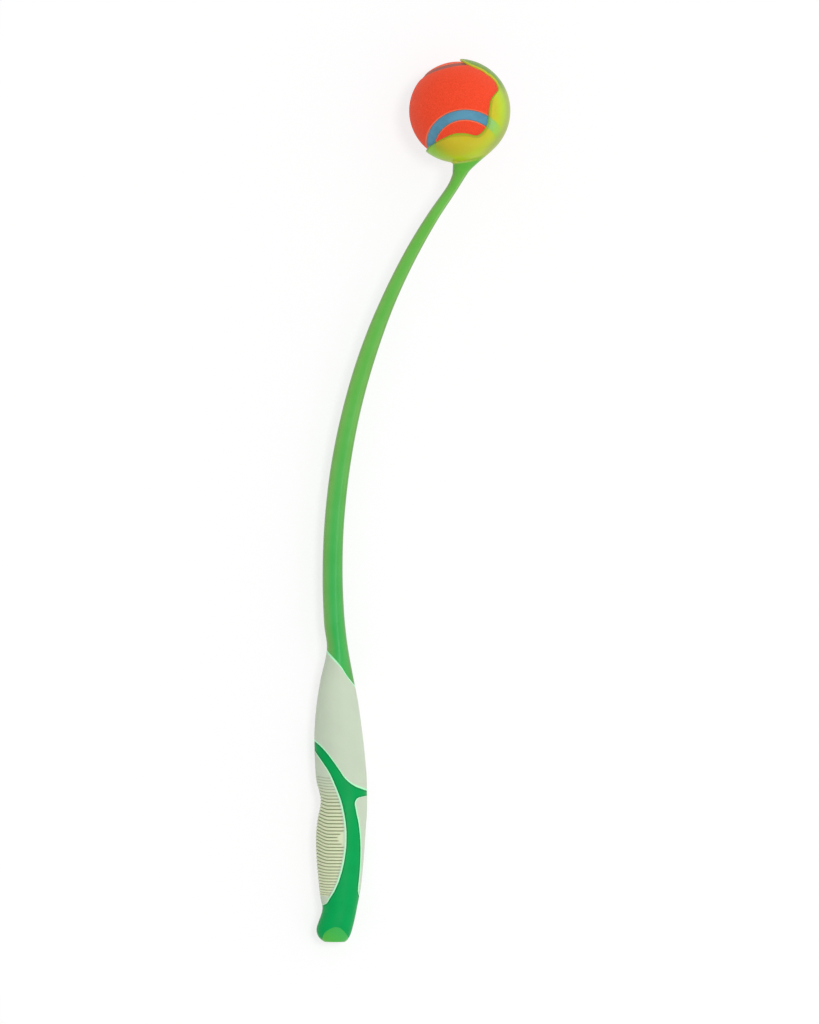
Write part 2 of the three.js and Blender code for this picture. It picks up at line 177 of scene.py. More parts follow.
# The arch at the butt through which the tang's foot shows: left half and right half, from top
# to bottom, as shares of depth and length.
FOOT_LEFT_SHARES = (
    (0.4, 0.948), (0.3, 0.955), (0.2, 0.968), (0.15, 0.988), (0.15, 1.011),
)
FOOT_RIGHT_SHARES = (
    (0.4, 0.948), (0.5, 0.951), (0.59, 0.963), (0.66, 0.981), (0.675, 1.011),
)
# The low corner of the butt, where a highlight is painted, as shares of depth and length.
FOOT_HIGHLIGHT_SHARES = (0.22, 0.995)
# Where the thrower touches the table when it lies on its side, as shares of the handle's depth
# and length.
REST_PLACE_SHARES = ((0.484, 0.322), (0.514, 0.644))

# How far the ribs rise towards the front of the handle, in metres.
RIB_RISE = 4.2 * MILLIMETRE

# How finely the pieces are divided: rows along them and columns round them, and the rows that
# close an end.
CUP_ROWS, CUP_COLUMNS = 132, 100
FOOT_ROWS, FOOT_CAP_ROWS, FOOT_COLUMNS = 52, 12, 100
SHELL_ROWS, SHELL_CAP_ROWS, SHELL_COLUMNS = 270, 10, 96
SLEEVE_ROWS, SLEEVE_COLUMNS = 220, 120
FINGER_ROWS, FINGER_COLUMNS = 470, 150
PALM_ROWS, PALM_COLUMNS = 160, 110
PANEL_STEPS = 168
SEAM_STEPS = 480
# The rings of points between the cup and the arm, down the arm, under the grips and down the tang.
BLEND_RINGS, ARM_RINGS, HIDDEN_RINGS, TANG_RINGS = 14, 130, 8, 20
# How finely the arm's curve, the cup's rim and the handle's levels are measured, and how often
# the search for a crossing halves its range.
CURVE_STEPS = 200
RIM_STEPS = 120
LEVEL_STEP = 0.05
CROSSING_HALVINGS = 22

# The part of a turn round a closed section that each end of it takes.
CUP_EDGE_SHARE = 0.12
FOOT_WALL_SHARE = 0.06
GRIP_WALL_SHARE = 0.03
# How closely the rows of the grips crowd towards their edges, where 1 is evenly spread.
GRIP_CROWDING = 1.35
SLEEVE_CROWDING = 1.5
# Values on the grips' points: distance from the edge in millimetres, and how far they are ribbed
# and grooved.
GRIP_LAYERS = ("edge", "ribbed", "groove")
# Angles by which the cup's rows close at both of its ends, from the last row inwards.
CUP_END_ANGLES = (90, 62, 35, 15)

# How flat the sides of a section are: 2 is an ellipse, and more is squarer.
OVAL_ROUNDNESS = 2.3
ARM_ROUNDNESS = 3.6

# Where the neck leaves the cup, as angles round the ball's centre, and the share of the cup's
# half width there that it takes.
NECK_FRONT_ANGLE, NECK_BACK_ANGLE = math.radians(-101), math.radians(-47)
NECK_WIDTH_SHARE = 0.35

# How far in from its rim the cup's plastic gets a painted shade line, or a painted highlight on
# the finger, and how solid each face of its thin wall looks from straight ahead and to light that
# falls through it.
RIM_TINT_WIDTH = 0.8 * MILLIMETRE
CUP_ALPHA = 0.56
CUP_SHADE = 0.15

# The photograph's frame and the place on the thrower at its middle.
PHOTO_WIDTH, PHOTO_HEIGHT = 819, 1024
BALL_PIXELS_ACROSS = 98.4
BALL_PIXEL = Vector((458.3, 110.8))
CAMERA_DISTANCE = 10.0
SENSOR_WIDTH = 36.0

# The studio: the even light's strength and how much more of it comes from the back of the
# thrower, then the key lamp's direction as the photograph shows it, its strength and its spread
# in degrees, then how white the floor shows to the camera, its colour, how far it reaches from
# the middle and how far it lies below the thrower.
AMBIENT_STRENGTH = 0.68
AMBIENT_SLOPE = 0.3
KEY_DIRECTION = (0.28, 0.12, 1.0)
KEY_STRENGTH = 1.15
KEY_SPREAD = 14
FLOOR_WHITE = 0.75
FLOOR_COLOUR = (0.97, 0.97, 0.97)
FLOOR_REACH = 6.0
FLOOR_DROP = 0.2 * MILLIMETRE


def linear(red, green, blue):
    """A colour as it is seen, from 0 to 255, made linear."""
    shares = (red / 255, green / 255, blue / 255)
    return tuple(c / 12.92 if c <= 0.04045 else ((c + 0.055) / 1.055) ** 2.4 for c in shares)


def length(name, description, millimetres):
    """A length that a user may set."""
    return bpy.props.FloatProperty(
        name=name, description=description, default=millimetres * MILLIMETRE,
        min=0.0, subtype="DISTANCE", unit="LENGTH", precision=5,
    )


def colour(name, description, *shade):
    """A colour that a user may set."""
    return bpy.props.FloatVectorProperty(
        name=name, description=description, default=linear(*shade), min=0.0, max=1.0,
        size=3, subtype="COLOR",
    )


class ThrowerSizes(bpy.types.PropertyGroup):
    """Sizes of the thrower and its ball."""

    ball_radius: length("Ball radius", "Radius of the felt ball", 33)
    felt_thickness: length("Felt", "Thickness of the ball's felt", 2.6)
    seam_width: length("Seam width", "Width of the seam stripe between the felt panels", 6.6)
    seam_recess: length("Seam recess", "How far the seam stripe lies below the felt", 0.35)
    felt_edge: length("Felt edge", "Radius that the felt's edge is rounded to", 0.7)
    cup_wall: length("Cup wall", "Thickness of the cup's wall", 1.6)
    cup_clearance: length("Cup clearance", "Room between the ball and the cup", 0.35)
    arm_top_depth: length("Arm top depth", "Depth of the arm just below the cup", 7.1)
    arm_top_width: length("Arm top width", "Width of the arm just below the cup", 12.5)
    shoulder_depth: length("Shoulder depth", "Depth of the arm where it meets the handle", 14)
    shoulder_width: length("Shoulder width", "Width of the arm where it meets the handle", 20)
    handle_length: length("Handle length", "Length of the handle from shoulder to butt", 195.8)
    handle_depth: length("Handle depth", "Depth of the handle, front to back", 34)
    handle_width: length("Handle width", "Width of the handle, side to side", 30)
    grip_thickness: length("Grip thickness", "Thickness of the soft grips", 2)
    grip_edge: length("Grip edge", "Radius that the grips' edges are rounded to", 0.6)
    grip_rise: length("Grip rise", "How far the grips stand over the green plastic", 0.12)
    rib_depth: length("Rib depth", "Depth of the grooves between the ribs", 0.55)


class ThrowerColours(bpy.types.PropertyGroup):
    """Colours of the thrower and its ball."""

    # The cup's tints are its lime plastic together with painted light from the orange ball glowing
    # through the thin wall.
    cup: colour("Cup", "Thin lime plastic of the cup, over the ball", 184, 242, 62)
    cup_outer: colour("Cup outer part", "Lime plastic of the cup round the ball", 167, 184, 80)
    cup_low: colour("Cup bottom", "Yellower plastic of the cup above the neck", 192, 212, 50)
    cup_lip: colour("Cup lip", "Lime plastic of the cup's lower lip", 150, 206, 56)
    finger: colour("Cup finger", "Thicker plastic of the cup's finger", 120, 160, 58)
    # Painted highlight: the bright cut edge of the cup's finger.
    finger_rim_highlight: colour("Finger rim", "Bright rim of the cup's finger", 215, 225, 60)
    # Painted shade: a dark line along the cup's rim.
    cup_rim: colour("Cup rim", "Painted shade along the cup's rim", 112, 158, 40)
    arm_top: colour("Arm top", "Green plastic below the cup", 102, 184, 70)
    arm_middle: colour("Arm middle", "Green plastic half way down the arm", 98, 182, 76)
    arm_bottom: colour("Arm bottom", "Green plastic at the shoulder", 62, 177, 86)
    # Painted shade: the arm's edges are tinted where the plastic turns away from the light.
    arm_edge_shade: colour("Arm edges", "Front and back edges of the arm", 135, 182, 100)
    # Painted shadow: a dark line along the arm's back edge.
    arm_back_shadow: colour("Arm border", "Dark line along the arm's back edge", 105, 150, 78)
    # Painted highlight: a light line where the arm's side turns to its back.
    arm_crease_highlight: colour("Arm crease", "Line where the arm's side turns to its back", 150, 215, 105)
    # Painted highlight: the lighter green at the low corner of the butt.
    foot: colour("Foot", "Lighter green at the low corner of the butt", 100, 198, 66)
    shell: colour("Handle shell", "Deep green plastic of the handle", 2, 163, 83)
    shell_shade_line: colour("Shell line", "Thin shade on the shell beside the grips", 20, 120, 70)
    grip: colour("Grip", "Pale soft grips", 197, 210, 187)
    # Painted highlight: the lighter, greener colour along the grips' edges.
    grip_rim_highlight: colour("Grip border", "Thin edges of the grips", 176, 250, 196)
    ribs: colour("Ribs", "Ribbed part of the finger grip", 213, 222, 184)
    # Painted shade: the dark colour of the grooves between the ribs.
    groove: colour("Grooves", "Grooves between the ribs", 120, 132, 88)
    felt: colour("Felt", "Orange felt of the ball", 246, 70, 30)
    # Painted highlight: the pale colour along the felt's edges.
    felt_highlight: colour("Felt highlight", "Felt where its edges are worn pale", 255, 165, 125)
    seam: colour("Seam", "Seam stripe of the ball", 80, 145, 174)
    # Painted shade: the brown of the seam stripe at the ball's top.
    seam_shade: colour("Seam shade", "Seam stripe where it is scuffed brown", 160, 84, 72)
    rubber: colour("Rubber", "Rubber core of the ball", 84, 84, 86)


def sizes():
    """The sizes set for this scene."""
    return bpy.context.scene.thrower_sizes


def colours():
    """The colours set for this scene."""
    return bpy.context.scene.thrower_colours


def smooth_step(value, low, high):
    """Rises smoothly from 0 at low to 1 at high."""
    share = min(max((value - low) / (high - low), 0.0), 1.0)
    return share * share * (3 - 2 * share)


def smooth_at(points, position):
    """A place on the smooth line through the points, at a position counted in points."""
    last = len(points) - 1
    step = min(max(int(position), 0), last - 1)
    t = position - step
    start, end = points[step], points[step + 1]
    leave = (end - points[max(step - 1, 0)]) * 0.5
    arrive = (points[min(step + 2, last)] - start) * 0.5
    return (
        (2 * start - 2 * end + leave + arrive) * t**3
        + (-3 * start + 3 * end - 2 * leave - arrive) * t**2
        + leave * t
        + start
    )


def line_through(points, steps):
    """Places along the smooth line through the points."""
    last = len(points) - 1
    return [smooth_at(points, last * i / steps) for i in range(steps + 1)]


def read_line(line, value):
    """Reads a line of rising pairs: the second number of the place where the first is value."""
    after = bisect.bisect(line, value, key=lambda pair: pair[0])
    after = min(max(after, 1), len(line) - 1)
    (low, start), (high, end) = line[after - 1], line[after]
    return start + (end - start) * ((value - low) / (high - low))


def signed_power(value, power):
    """A power of a value's size, with the value's sign."""
    return math.copysign(abs(value) ** power, value)


def curve_point(places, t):
    """A place on the smooth curve from the first of four places to the last."""
    start, leave, arrive, end = places
    a, b, c, d = (1 - t) ** 3, 3 * t * (1 - t) ** 2, 3 * t * t * (1 - t), t**3
    return a * start + b * leave + c * arrive + d * end


def handle_place(depth_share, length_share):
    """A side view place on the handle."""
    size = sizes()
    return Vector((
        -HANDLE_FRONT + depth_share * size.handle_depth,
        -SHOULDER_REACH - length_share * size.handle_length,
    ))


def handle_line(shares, steps=40):
    """A smooth side view line on the handle."""
    return line_through([handle_place(*share) for share in shares], steps)


def section_station(front, back, half_width, roundness):
    """One section of the thrower as a single vector, so that a smooth line can pass through it."""
    return Vector((front.x, front.y, back.x, back.y, half_width, roundness))


def arm_stations(count=18):
    """Sections of the arm along its curve from the neck to the shoulder."""
    size = sizes()
    start = Vector((-NECK_OFFSET, -NECK_REACH))
    end = Vector((-SHOULDER_OFFSET, -SHOULDER_REACH))
    curve = (start, start - NECK_PULL, end + Vector((-SHOULDER_PULL.x, SHOULDER_PULL.y)), end)
    shares = [Vector(pair) for pair in zip(ARM_DEPTH_SHARES, ARM_FLAT_SHARES)]
    fine = [curve_point(curve, i / CURVE_STEPS) for i in range(CURVE_STEPS + 1)]
    run = [0.0]
    for before, after in zip(fine, fine[1:]):
        run.append(run[-1] + (after - before).length)
    stations = []
    for i in range(count):
        place = i / count
        t = bisect.bisect_left(run, place * run[-1]) / CURVE_STEPS
        middle = curve_point(curve, t)
        along = (curve_point(curve, t + 0.2 / CURVE_STEPS) - middle).normalized()
        share, flat = smooth_at(shares, place * (len(shares) - 1))
        depth = size.arm_top_depth + (size.shoulder_depth - size.arm_top_depth) * share
        width = size.arm_top_width + (size.shoulder_width - size.arm_top_width) * place
        half = Vector((-along.y, along.x)) * (depth / 2)
        roundness = OVAL_ROUNDNESS + (ARM_ROUNDNESS - OVAL_ROUNDNESS) * flat
        stations.append(section_station(middle - half, middle + half, width / 2, roundness))
    return stations


class Run:
    """A smooth run of rounded sections."""

    def __init__(self, stations):
        self.stations = stations
        self.last = len(stations) - 1

    def section(self, position):
        """Front, back, half width and roundness of the section at a position."""
        front_x, front_y, back_x, back_y, half, roundness = smooth_at(self.stations, position)
        return Vector((front_x, front_y)), Vector((back_x, back_y)), half, roundness

    def middle(self, position):
        """The middle of the section at a position."""
        front, back, _, _ = self.section(position)
        return (front + back) / 2

    def share_across(self, angle, position):
        """How far across its section a point lies: -1 at the front and 1 at the back."""
        return signed_power(math.cos(angle), 2 / self.section(position)[3])

    def point(self, angle, position, inset=0.0):
        """A point of the surface: angle 0 is the back, a quarter turn is the near side."""
        front, back, half, roundness = self.section(position)
        across = (back - front).normalized()
        middle = (front + back) / 2
        out = ((back - front).length / 2 - inset) * signed_power(math.cos(angle), 2 / roundness)
        side = (half - inset) * signed_power(math.sin(angle), 2 / roundness)
        return Vector((middle.x + across.x * out, middle.y + across.y * out, side))


class Body(Run):
    """The outside of neck, arm and handle."""

    def __init__(self):
        size = sizes()
        radius = size.ball_radius
        neck = [
            section_station(
                Vector(front) * radius, Vector(back) * radius, half * radius, OVAL_ROUNDNESS
            )
            for front, back, half in NECK_SECTION_SHARES
        ]
        handle = [
            section_station(
                handle_place(front, down), handle_place(back, down),
                half * size.handle_width, OVAL_ROUNDNESS,
            )
            for down, front, back, half in HANDLE_SECTION_SHARES
        ]
        super().__init__(neck + arm_stations() + handle)
        self.handle_start = len(self.stations) - len(handle)
        steps = round((len(handle) - 1) / LEVEL_STEP)
        positions = [self.handle_start + i * LEVEL_STEP for i in range(steps + 1)]
        self.levels = [Vector((-smooth_at(self.stations, p)[1], p)) for p in positions]

    def position_at(self, length_share):
        """The position of a share of the handle's length."""
        level = SHOULDER_REACH + length_share * sizes().handle_length
        return read_line(self.levels, level)

    def angle_at(self, x, position):
        """The angle at which the section at a position has a side view place x."""
        front, back, _, roundness = self.section(position)
        share = (x - (front.x + back.x) / 2) / ((back.x - front.x) / 2)
        share = min(max(share, -1.0), 1.0)
        return math.acos(signed_power(share, roundness / 2))

    def crossing(self, angle, line, low, high):
        """The position between low and high at which a surface line crosses a side view line."""
        for _ in range(CROSSING_HALVINGS):
            middle = (low + high) / 2
            point = self.point(angle, middle)
            if point.y > read_line(line, point.x):
                low = middle
            else:
                high = middle
        return low


def ball_centre():
    """The middle of the two rubber half shells, which is the ball's centre."""
    boxes = [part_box(node) for node in ("ball_shell_upper", "ball_shell_lower")]
    low = [min(box[0][i] for box in boxes) for i in range(3)]
    high = [max(box[1][i] for box in boxes) for i in range(3)]
    return (Vector(low) + Vector(high)) / 2


def laid_down():
    """Takes a drawn place to its place on the table, where ball and handle touch the table."""
    size = sizes()
    upper, lower = (handle_place(*share) for share in REST_PLACE_SHARES)
    drop = size.handle_width / 2 - size.ball_radius
    area = upper.x * lower.y - lower.x * upper.y
    across = drop * (lower.y - upper.y) / area
    along = drop * (upper.x - lower.x) / area
    up = Vector((across, along, math.sqrt(1 - across**2 - along**2)))
    turn = up.rotation_difference(Vector((0, 0, 1))).to_matrix().to_4x4()
    return Matrix.Translation(ball_centre()) @ turn


def rounded_drop(distance, radius):
    """How far a rounded edge falls away at a distance in from it."""
    if distance >= radius:
        return 0.0
    return radius - math.sqrt(max(radius**2 - (radius - distance) ** 2, 0.0))


def mapped_grid(bm, rows, columns, place):
    """A grid whose points are moved by place(vert, row share, column share)."""
    made = bmesh.ops.create_grid(bm, x_segments=rows, y_segments=columns, size=1.0)
    for vert in made["verts"]:
        vert.co = place(vert, (vert.co.x + 1) / 2, (vert.co.y + 1) / 2)
    return made["verts"]


def make_piece(name, build, material, rides_on, node, layers=()):
    """Makes a piece that stands for a CAD node and rides on a body.

    build(bm) shapes it as the thrower is drawn, and it is then welded and laid on the table. The
    layers are values on its points that its material reads.
    """
    bm = bmesh.new()
    for layer in layers:
        bm.verts.layers.float.new(layer)
    build(bm)
    bmesh.ops.remove_doubles(bm, verts=bm.verts, dist=WELD_DISTANCE)
    bmesh.ops.dissolve_degenerate(bm, edges=bm.edges, dist=WELD_DISTANCE)
    bmesh.ops.recalc_face_normals(bm, faces=bm.faces)
    bmesh.ops.transform(bm, matrix=laid_down(), verts=bm.verts)
    for face in bm.faces:
        face.smooth = True
    mesh = bpy.data.meshes.new(name)
    bm.to_mesh(mesh)
    bm.free()
    mesh.set_sharp_from_angle(angle=SHARP_ANGLE)
    mesh.materials.append(material)
    piece = bpy.data.objects.new(name, mesh)
    bpy.context.scene.collection.objects.link(piece)
    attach(piece, rides_on)
    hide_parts(node)


# The arm: cup, neck, curved arm, shoulder, tang and foot


def cup_rim_line():
    """The cup's rim as angle round the ball's centre and distance from it."""
    radius = sizes().ball_radius
    rim = line_through([Vector(share) * radius for share in CUP_RIM_SHARES], RIM_STEPS)
    return [Vector((math.atan2(point.y, point.x), point.length)) for point in rim]


def cup_section(angle, reach, turn, middle_radius, thickness):
    """A point of the cup's section at an angle: a thin band across, with round edges.

    The turn goes once round the band: outside, near edge, inside, far edge.
    """
    side_share = 0.5 - CUP_EDGE_SHARE
    half = thickness / 2
    way = 1
    if turn >= 0.5:
        way, turn = -1, turn - 0.5
    if turn < side_share:
        latitude, rise = reach * (2 * turn / side_share - 1), half
    else:
        round_angle = math.pi * (turn - side_share) / CUP_EDGE_SHARE
        latitude = reach + half * math.sin(round_angle) / middle_radius
        rise = half * math.cos(round_angle)
    latitude, radius = way * latitude, middle_radius + way * rise
    flat = radius * math.cos(latitude)
    return Vector((flat * math.cos(angle), flat * math.sin(angle), radius * math.sin(latitude)))


def make_cup(bm):
    """The cup as a closed band. Returns its points by row and column, and its two end angles."""
    size = sizes()
    middle_radius = size.ball_radius + size.cup_clearance + size.cup_wall / 2
    rim = cup_rim_line()
    tip_turn = size.cup_wall / 2 / middle_radius
    first, last = rim[0].x, rim[-1].x
    while read_line(rim, last) > middle_radius:
        last -= tip_turn / 50
    rim_layer = bm.verts.layers.float["rim"]
    grid = {}

    def place(vert, row, column):
        angle = first + (last - first) * (1 - math.cos(math.pi * row)) / 2
        reach = math.acos(min(read_line(rim, angle), middle_radius) / middle_radius)
        thickness = size.cup_wall
        step = round(min(row, 1 - row) * CUP_ROWS)
        if step < len(CUP_END_ANGLES):
            closing = math.radians(CUP_END_ANGLES[step])
            thickness *= math.cos(closing)
            angle += tip_turn * math.sin(closing) * (1 if row > 0.5 else -1)
        grid[round(row * CUP_ROWS), round(column * CUP_COLUMNS)] = vert
        point = cup_section(angle, reach, column, middle_radius, thickness)
        latitude = math.asin(max(-1.0, min(1.0, point.z / point.length)))
        inside = min(reach - abs(latitude), (angle - first) * math.cos(latitude))
        vert[rim_layer] = 1 - smooth_step(inside * middle_radius, 0, RIM_TINT_WIDTH)
        return point

    mapped_grid(bm, CUP_ROWS, CUP_COLUMNS, place)
    return grid, first, last


def neck_turn(row_share, column_share, rows, columns):
    """How far round the neck a point of its root on the cup lies, starting at the back.

    The root is a rectangle on the cup: rows from -1 at the front to 1 at the back, columns from
    -1 at the far side to 1 at the near side.
    """
    total = 2 * (rows + columns)
    if row_share > 0.999 and column_share >= 0:
        steps = column_share * columns / 2
    elif column_share > 0.999:
        steps = columns / 2 + (1 - row_share) / 2 * rows
    elif row_share < -0.999:
        steps = columns / 2 + rows + (1 - column_share) / 2 * columns
    elif column_share < -0.999:
        steps = columns * 1.5 + rows + (1 + row_share) / 2 * rows
    else:
        steps = total + column_share * columns / 2
    return steps / total


def open_neck(bm, grid, first, last):
    """Opens the cup where the neck leaves it. Returns the ring round the hole, for next_ring."""
    outside = round(CUP_COLUMNS * (0.5 - CUP_EDGE_SHARE))
    half = round(NECK_WIDTH_SHARE * outside / 2)
    start, end = (
        round(CUP_ROWS * math.acos(1 - 2 * (angle - first) / (last - first)) / math.pi)
        for angle in (NECK_FRONT_ANGLE, NECK_BACK_ANGLE)
    )
    inside, ring = set(), []
    for row in range(start, end + 1):
        for column in range(-half, half + 1):
            vert = grid[row, outside // 2 + column]
            inside.add(vert)
            if row in (start, end) or abs(column) == half:
                row_share = 2 * (row - start) / (end - start) - 1
                turn = neck_turn(row_share, column / half, end - start, 2 * half)
                ring.append((2 * math.pi * turn, vert))
    covered = [face for face in bm.faces if inside.issuperset(face.verts)]
    bmesh.ops.delete(bm, geom=covered, context="FACES")
    return ring


def blend_point(root, body, angle, share):
    """A point between the neck's root on the cup and its first section, smooth at both ends."""
    outward = root.normalized()
    middle_angle = (NECK_FRONT_ANGLE + NECK_BACK_ANGLE) / 2
    middle = Vector((math.cos(middle_angle), math.sin(middle_angle), 0)) * root.length
    leave = middle - root
    leave = (leave - outward * leave.dot(outward)).normalized()
    end = body.point(angle, 0)
    arrive = (body.point(angle, 0.3) - end).normalized()
    pull = (end - root).length / 2
    return curve_point((root, root + leave * pull, end - arrive * pull, end), share)


def next_ring(bm, ring, place):
    """Extrudes a ring of pairs of angle and point, and moves each new point to place(angle)."""
    edges = set()
    verts = {vert: angle for angle, vert in ring}
    for vert in verts:
        for edge in vert.link_edges:
            if edge.other_vert(vert) in verts and len(edge.link_faces) < 2:
                edges.add(edge)
    made = bmesh.ops.extrude_edge_only(bm, edges=list(edges))
    new = [item for item in made["geom"] if isinstance(item, bmesh.types.BMVert)]
    fresh = set(new)
    following = []
    for vert in new:
        old = next(
            edge.other_vert(vert) for edge in vert.link_edges
            if edge.other_vert(vert) not in fresh
        )
        angle = verts[old]
        vert.co = place(angle)
        following.append((angle, vert))
    return following


def make_arm_run(bm, body, ring):
    """Carries the neck on down the arm and under the grips, and ends it in the tang."""
    size = sizes()
    cover = size.grip_thickness + SEAM_GAP
    roots = {angle: vert.co.copy() for angle, vert in ring}
    side_layer, flank_layer = (bm.verts.layers.float[name] for name in ("side", "flank"))
    for i in range(1, BLEND_RINGS + 1):
        share = i / BLEND_RINGS
        ring = next_ring(bm, ring, lambda angle: blend_point(roots[angle], body, angle, share))
    sleeve_top = handle_line(SLEEVE_TOP_SHARES)
    low, high = body.handle_start - 2, body.handle_start + 4
    top = {angle: body.crossing(angle, sleeve_top, low, high) for angle in roots}
    for i in range(1, ARM_RINGS + 1):
        share = i / ARM_RINGS
        ring = next_ring(bm, ring, lambda angle: body.point(angle, top[angle] * share))
        for angle, vert in ring:
            across = body.share_across(angle, top[angle] * share)
            vert[side_layer] = across
            vert[flank_layer] = 1 - abs(across) ** ARM_ROUNDNESS
    for share in (0.15, 0.6, 1.0):
        ring = next_ring(bm, ring, lambda angle: body.point(angle, top[angle], cover * share))
    shell_top = body.position_at(SHELL_TOP / size.handle_length)
    for i in range(1, HIDDEN_RINGS + 1):
        share = i / HIDDEN_RINGS
        ring = next_ring(bm, ring, lambda angle: body.point(
            angle, top[angle] + (shell_top - top[angle]) * share, cover
        ))
    tang = []
    for down, middle, depth, width in TANG_SECTION_SHARES:
        centre, half = handle_place(middle, down), Vector((depth * TANG_DEPTH / 2, 0))
        half_width = width * TANG_WIDTH / 2
        tang.append(section_station(centre - half, centre + half, half_width, OVAL_ROUNDNESS))
    inner = Run(tang)
    for i in range(TANG_RINGS + 1):
        position = inner.last * i / TANG_RINGS
        ring = next_ring(bm, ring, lambda angle: inner.point(angle, position))
    edges = {
        edge for _, vert in ring for edge in vert.link_edges if len(edge.link_faces) == 1
    }
    bmesh.ops.contextual_create(bm, geom=list(edges))


def foot_place(body, left, right, length_share, turn):
    """A point of the tang's foot: its near side, its front wall, its far side, its back wall."""
    size = sizes()
    arc_share = 0.5 - FOOT_WALL_SHARE
    position = body.position_at(length_share)
    level = SHOULDER_REACH + length_share * size.handle_length
    start = body.angle_at(read_line(right, level), position)
    end = body.angle_at(read_line(left, level), position)
    far_side = turn >= 0.5
    turn %= 0.5
    along = min(turn / arc_share, 1.0)
    across = 1 - along if far_side else along
    edge = min(across, 1 - across) * (end - start) * size.handle_width / 2
    wall = abs(body.point(start if across < 0.5 else end, position).z)
    drop = rounded_drop(edge, size.grip_edge / 2) * smooth_step(wall, 0, MILLIMETRE)
    inset = drop - size.grip_rise / 2
    point = body.point(start + (end - start) * across, position, inset)
    side = -1 if far_side else 1
    if turn > arc_share:
        side *= 1 - 2 * (turn - arc_share) / FOOT_WALL_SHARE
    return Vector((point.x, point.y, point.z * side))


def make_foot(bm, body):
    """The swollen end of the tang, which fills the arch at the butt and its flat end."""
    size = sizes()
    top = FOOT_LEFT_SHARES[0][1]
    down_rows = FOOT_ROWS - FOOT_CAP_ROWS
    left, right = level_line(FOOT_LEFT_SHARES), level_line(FOOT_RIGHT_SHARES)
    middle = body.middle(body.last)

    def place(_, row, column):
        step = row * FOOT_ROWS
        down = min(step / down_rows, 1.0)
        length_share = top + (1 - top) * (1 - math.cos(math.pi * down / 2))
        point = foot_place(body, left, right, length_share, column % 1)
        closing = max(step - down_rows, 0) / FOOT_CAP_ROWS
        point = point.lerp(Vector((middle.x, point.y, 0)), closing)
        point.y -= size.grip_rise / 2 * down
        return point

    mapped_grid(bm, FOOT_ROWS, FOOT_COLUMNS, place)


def make_arm(bm):
    """The whole moulding: cup, neck, arm, tang and the tang's foot."""
    body = Body()
    make_arm_run(bm, body, open_neck(bm, *make_cup(bm)))
    make_foot(bm, body)


class THROWER_OT_arm(bpy.types.Operator):
    """Model the arm: spring cup, neck, curved arm and the tang that runs through the handle"""

    bl_idname = "thrower.arm"
    bl_label = "Arm and Cup"

    def execute(self, context):
        make_piece(
            "arm_moulding", make_arm, arm_material(), "thrower", "arm",
            ("rim", "side", "flank"),
        )
        return {"FINISHED"}


# The handle: green shell and three soft grips


def line_distance(line, x, y):
    """How far a side view place lies from a line."""
    best = 1.0
    for start, end in zip(line, line[1:]):
        along_x, along_y = end.x - start.x, end.y - start.y
        share = (x - start.x) * along_x + (y - start.y) * along_y
        share = min(max(share / (along_x**2 + along_y**2), 0.0), 1.0)
        gap_x, gap_y = x - start.x - along_x * share, y - start.y - along_y * share
        best = min(best, math.hypot(gap_x, gap_y))
    return best


def level_line(shares):
    """A side view line read by its level: each point is distance down, then place across."""
    return [Vector((-point.y, point.x)) for point in handle_line(shares)]


def make_shell(bm):
    """The green shell: its outside where it shows, and sunk where a grip lies over it."""
    size = sizes()
    body = Body()
    edge_layer = bm.verts.layers.float["edge"]
    cover = size.grip_thickness + SEAM_GAP / 2
    sleeve = handle_line(SLEEVE_BOTTOM_SHARES, 16)
    edges = [
        (handle_line(shares, 24), level_line(shares), side)
        for shares, side in ((FINGER_EDGE_SHARES, 1), (PALM_EDGE_SHARES, -1))
    ]
    top_share = SHELL_TOP / size.handle_length
    steps = SHELL_ROWS - 2 * SHELL_CAP_ROWS

    def depth_in_grip(point):
        """How far inside a grip's edge a place lies; outside, it is below zero."""
        level = -point.y
        under_sleeve = point.y > read_line(sleeve, point.x)
        distance = line_distance(sleeve, point.x, point.y)
        depths = [distance if under_sleeve else -distance]
        for line, levels, side in edges:
            distance = line_distance(line, point.x, point.y)
            gap = (read_line(levels, level) - point.x) * side
            covered = levels[0].x < level < levels[-1].x and gap > 0
            depths.append(distance if covered else -distance)
        return max(depths)

    def place(vert, row, column):
        step = row * SHELL_ROWS - SHELL_CAP_ROWS
        along = min(max(step / steps, 0.0), 1.0)
        position = body.position_at(top_share + (1 - top_share) * along)
        angle = 2 * math.pi * column
        point = body.point(angle, position)
        depth = depth_in_grip(point)
        vert[edge_layer] = -depth / MILLIMETRE
        sunk = cover * smooth_step(depth, SHELL_LIP, SHELL_LIP + SHELL_WALL)
        if sunk:
            point = body.point(angle, position, sunk)
        closing = max(-step, step - steps, 0) / SHELL_CAP_ROWS
        middle = body.middle(position)
        return point.lerp(Vector((middle.x, middle.y, 0)), closing)

    mapped_grid(bm, SHELL_ROWS, SHELL_COLUMNS, place)


class THROWER_OT_handle_shell(bpy.types.Operator):
    """Model the green shell of the handle, sunk under the soft grips"""

    bl_idname = "thrower.handle_shell"
    bl_label = "Handle Shell"

    def execute(self, context):
        make_piece(
            "handle_shell_moulding", make_shell, shell_material(), "thrower",
            "handle_shell", ("edge",),
        )
        return {"FINISHED"}


def wrapped_section(turn):
    """Splits a turn round a grip's section: outside, near edge, inside and far edge.

    Returns a place across from -1 to 1, and a depth from 0 on the outside to 1 on the inside.
    """
    side = 0.5 - GRIP_WALL_SHARE
    if turn < side:
        return 2 * turn / side - 1, 0.0
    if turn < 0.5:
        return 1.0, (turn - side) / GRIP_WALL_SHARE
    if turn < 0.5 + side:
        return 1 - 2 * (turn - 0.5) / side, 1.0
    return -1.0, 1 - (turn - 0.5 - side) / GRIP_WALL_SHARE


def crowd_edges(share, power):
    """Moves places between -1 and 1 closer to both ends."""
    return math.copysign(1 - (1 - abs(share)) ** power, share)


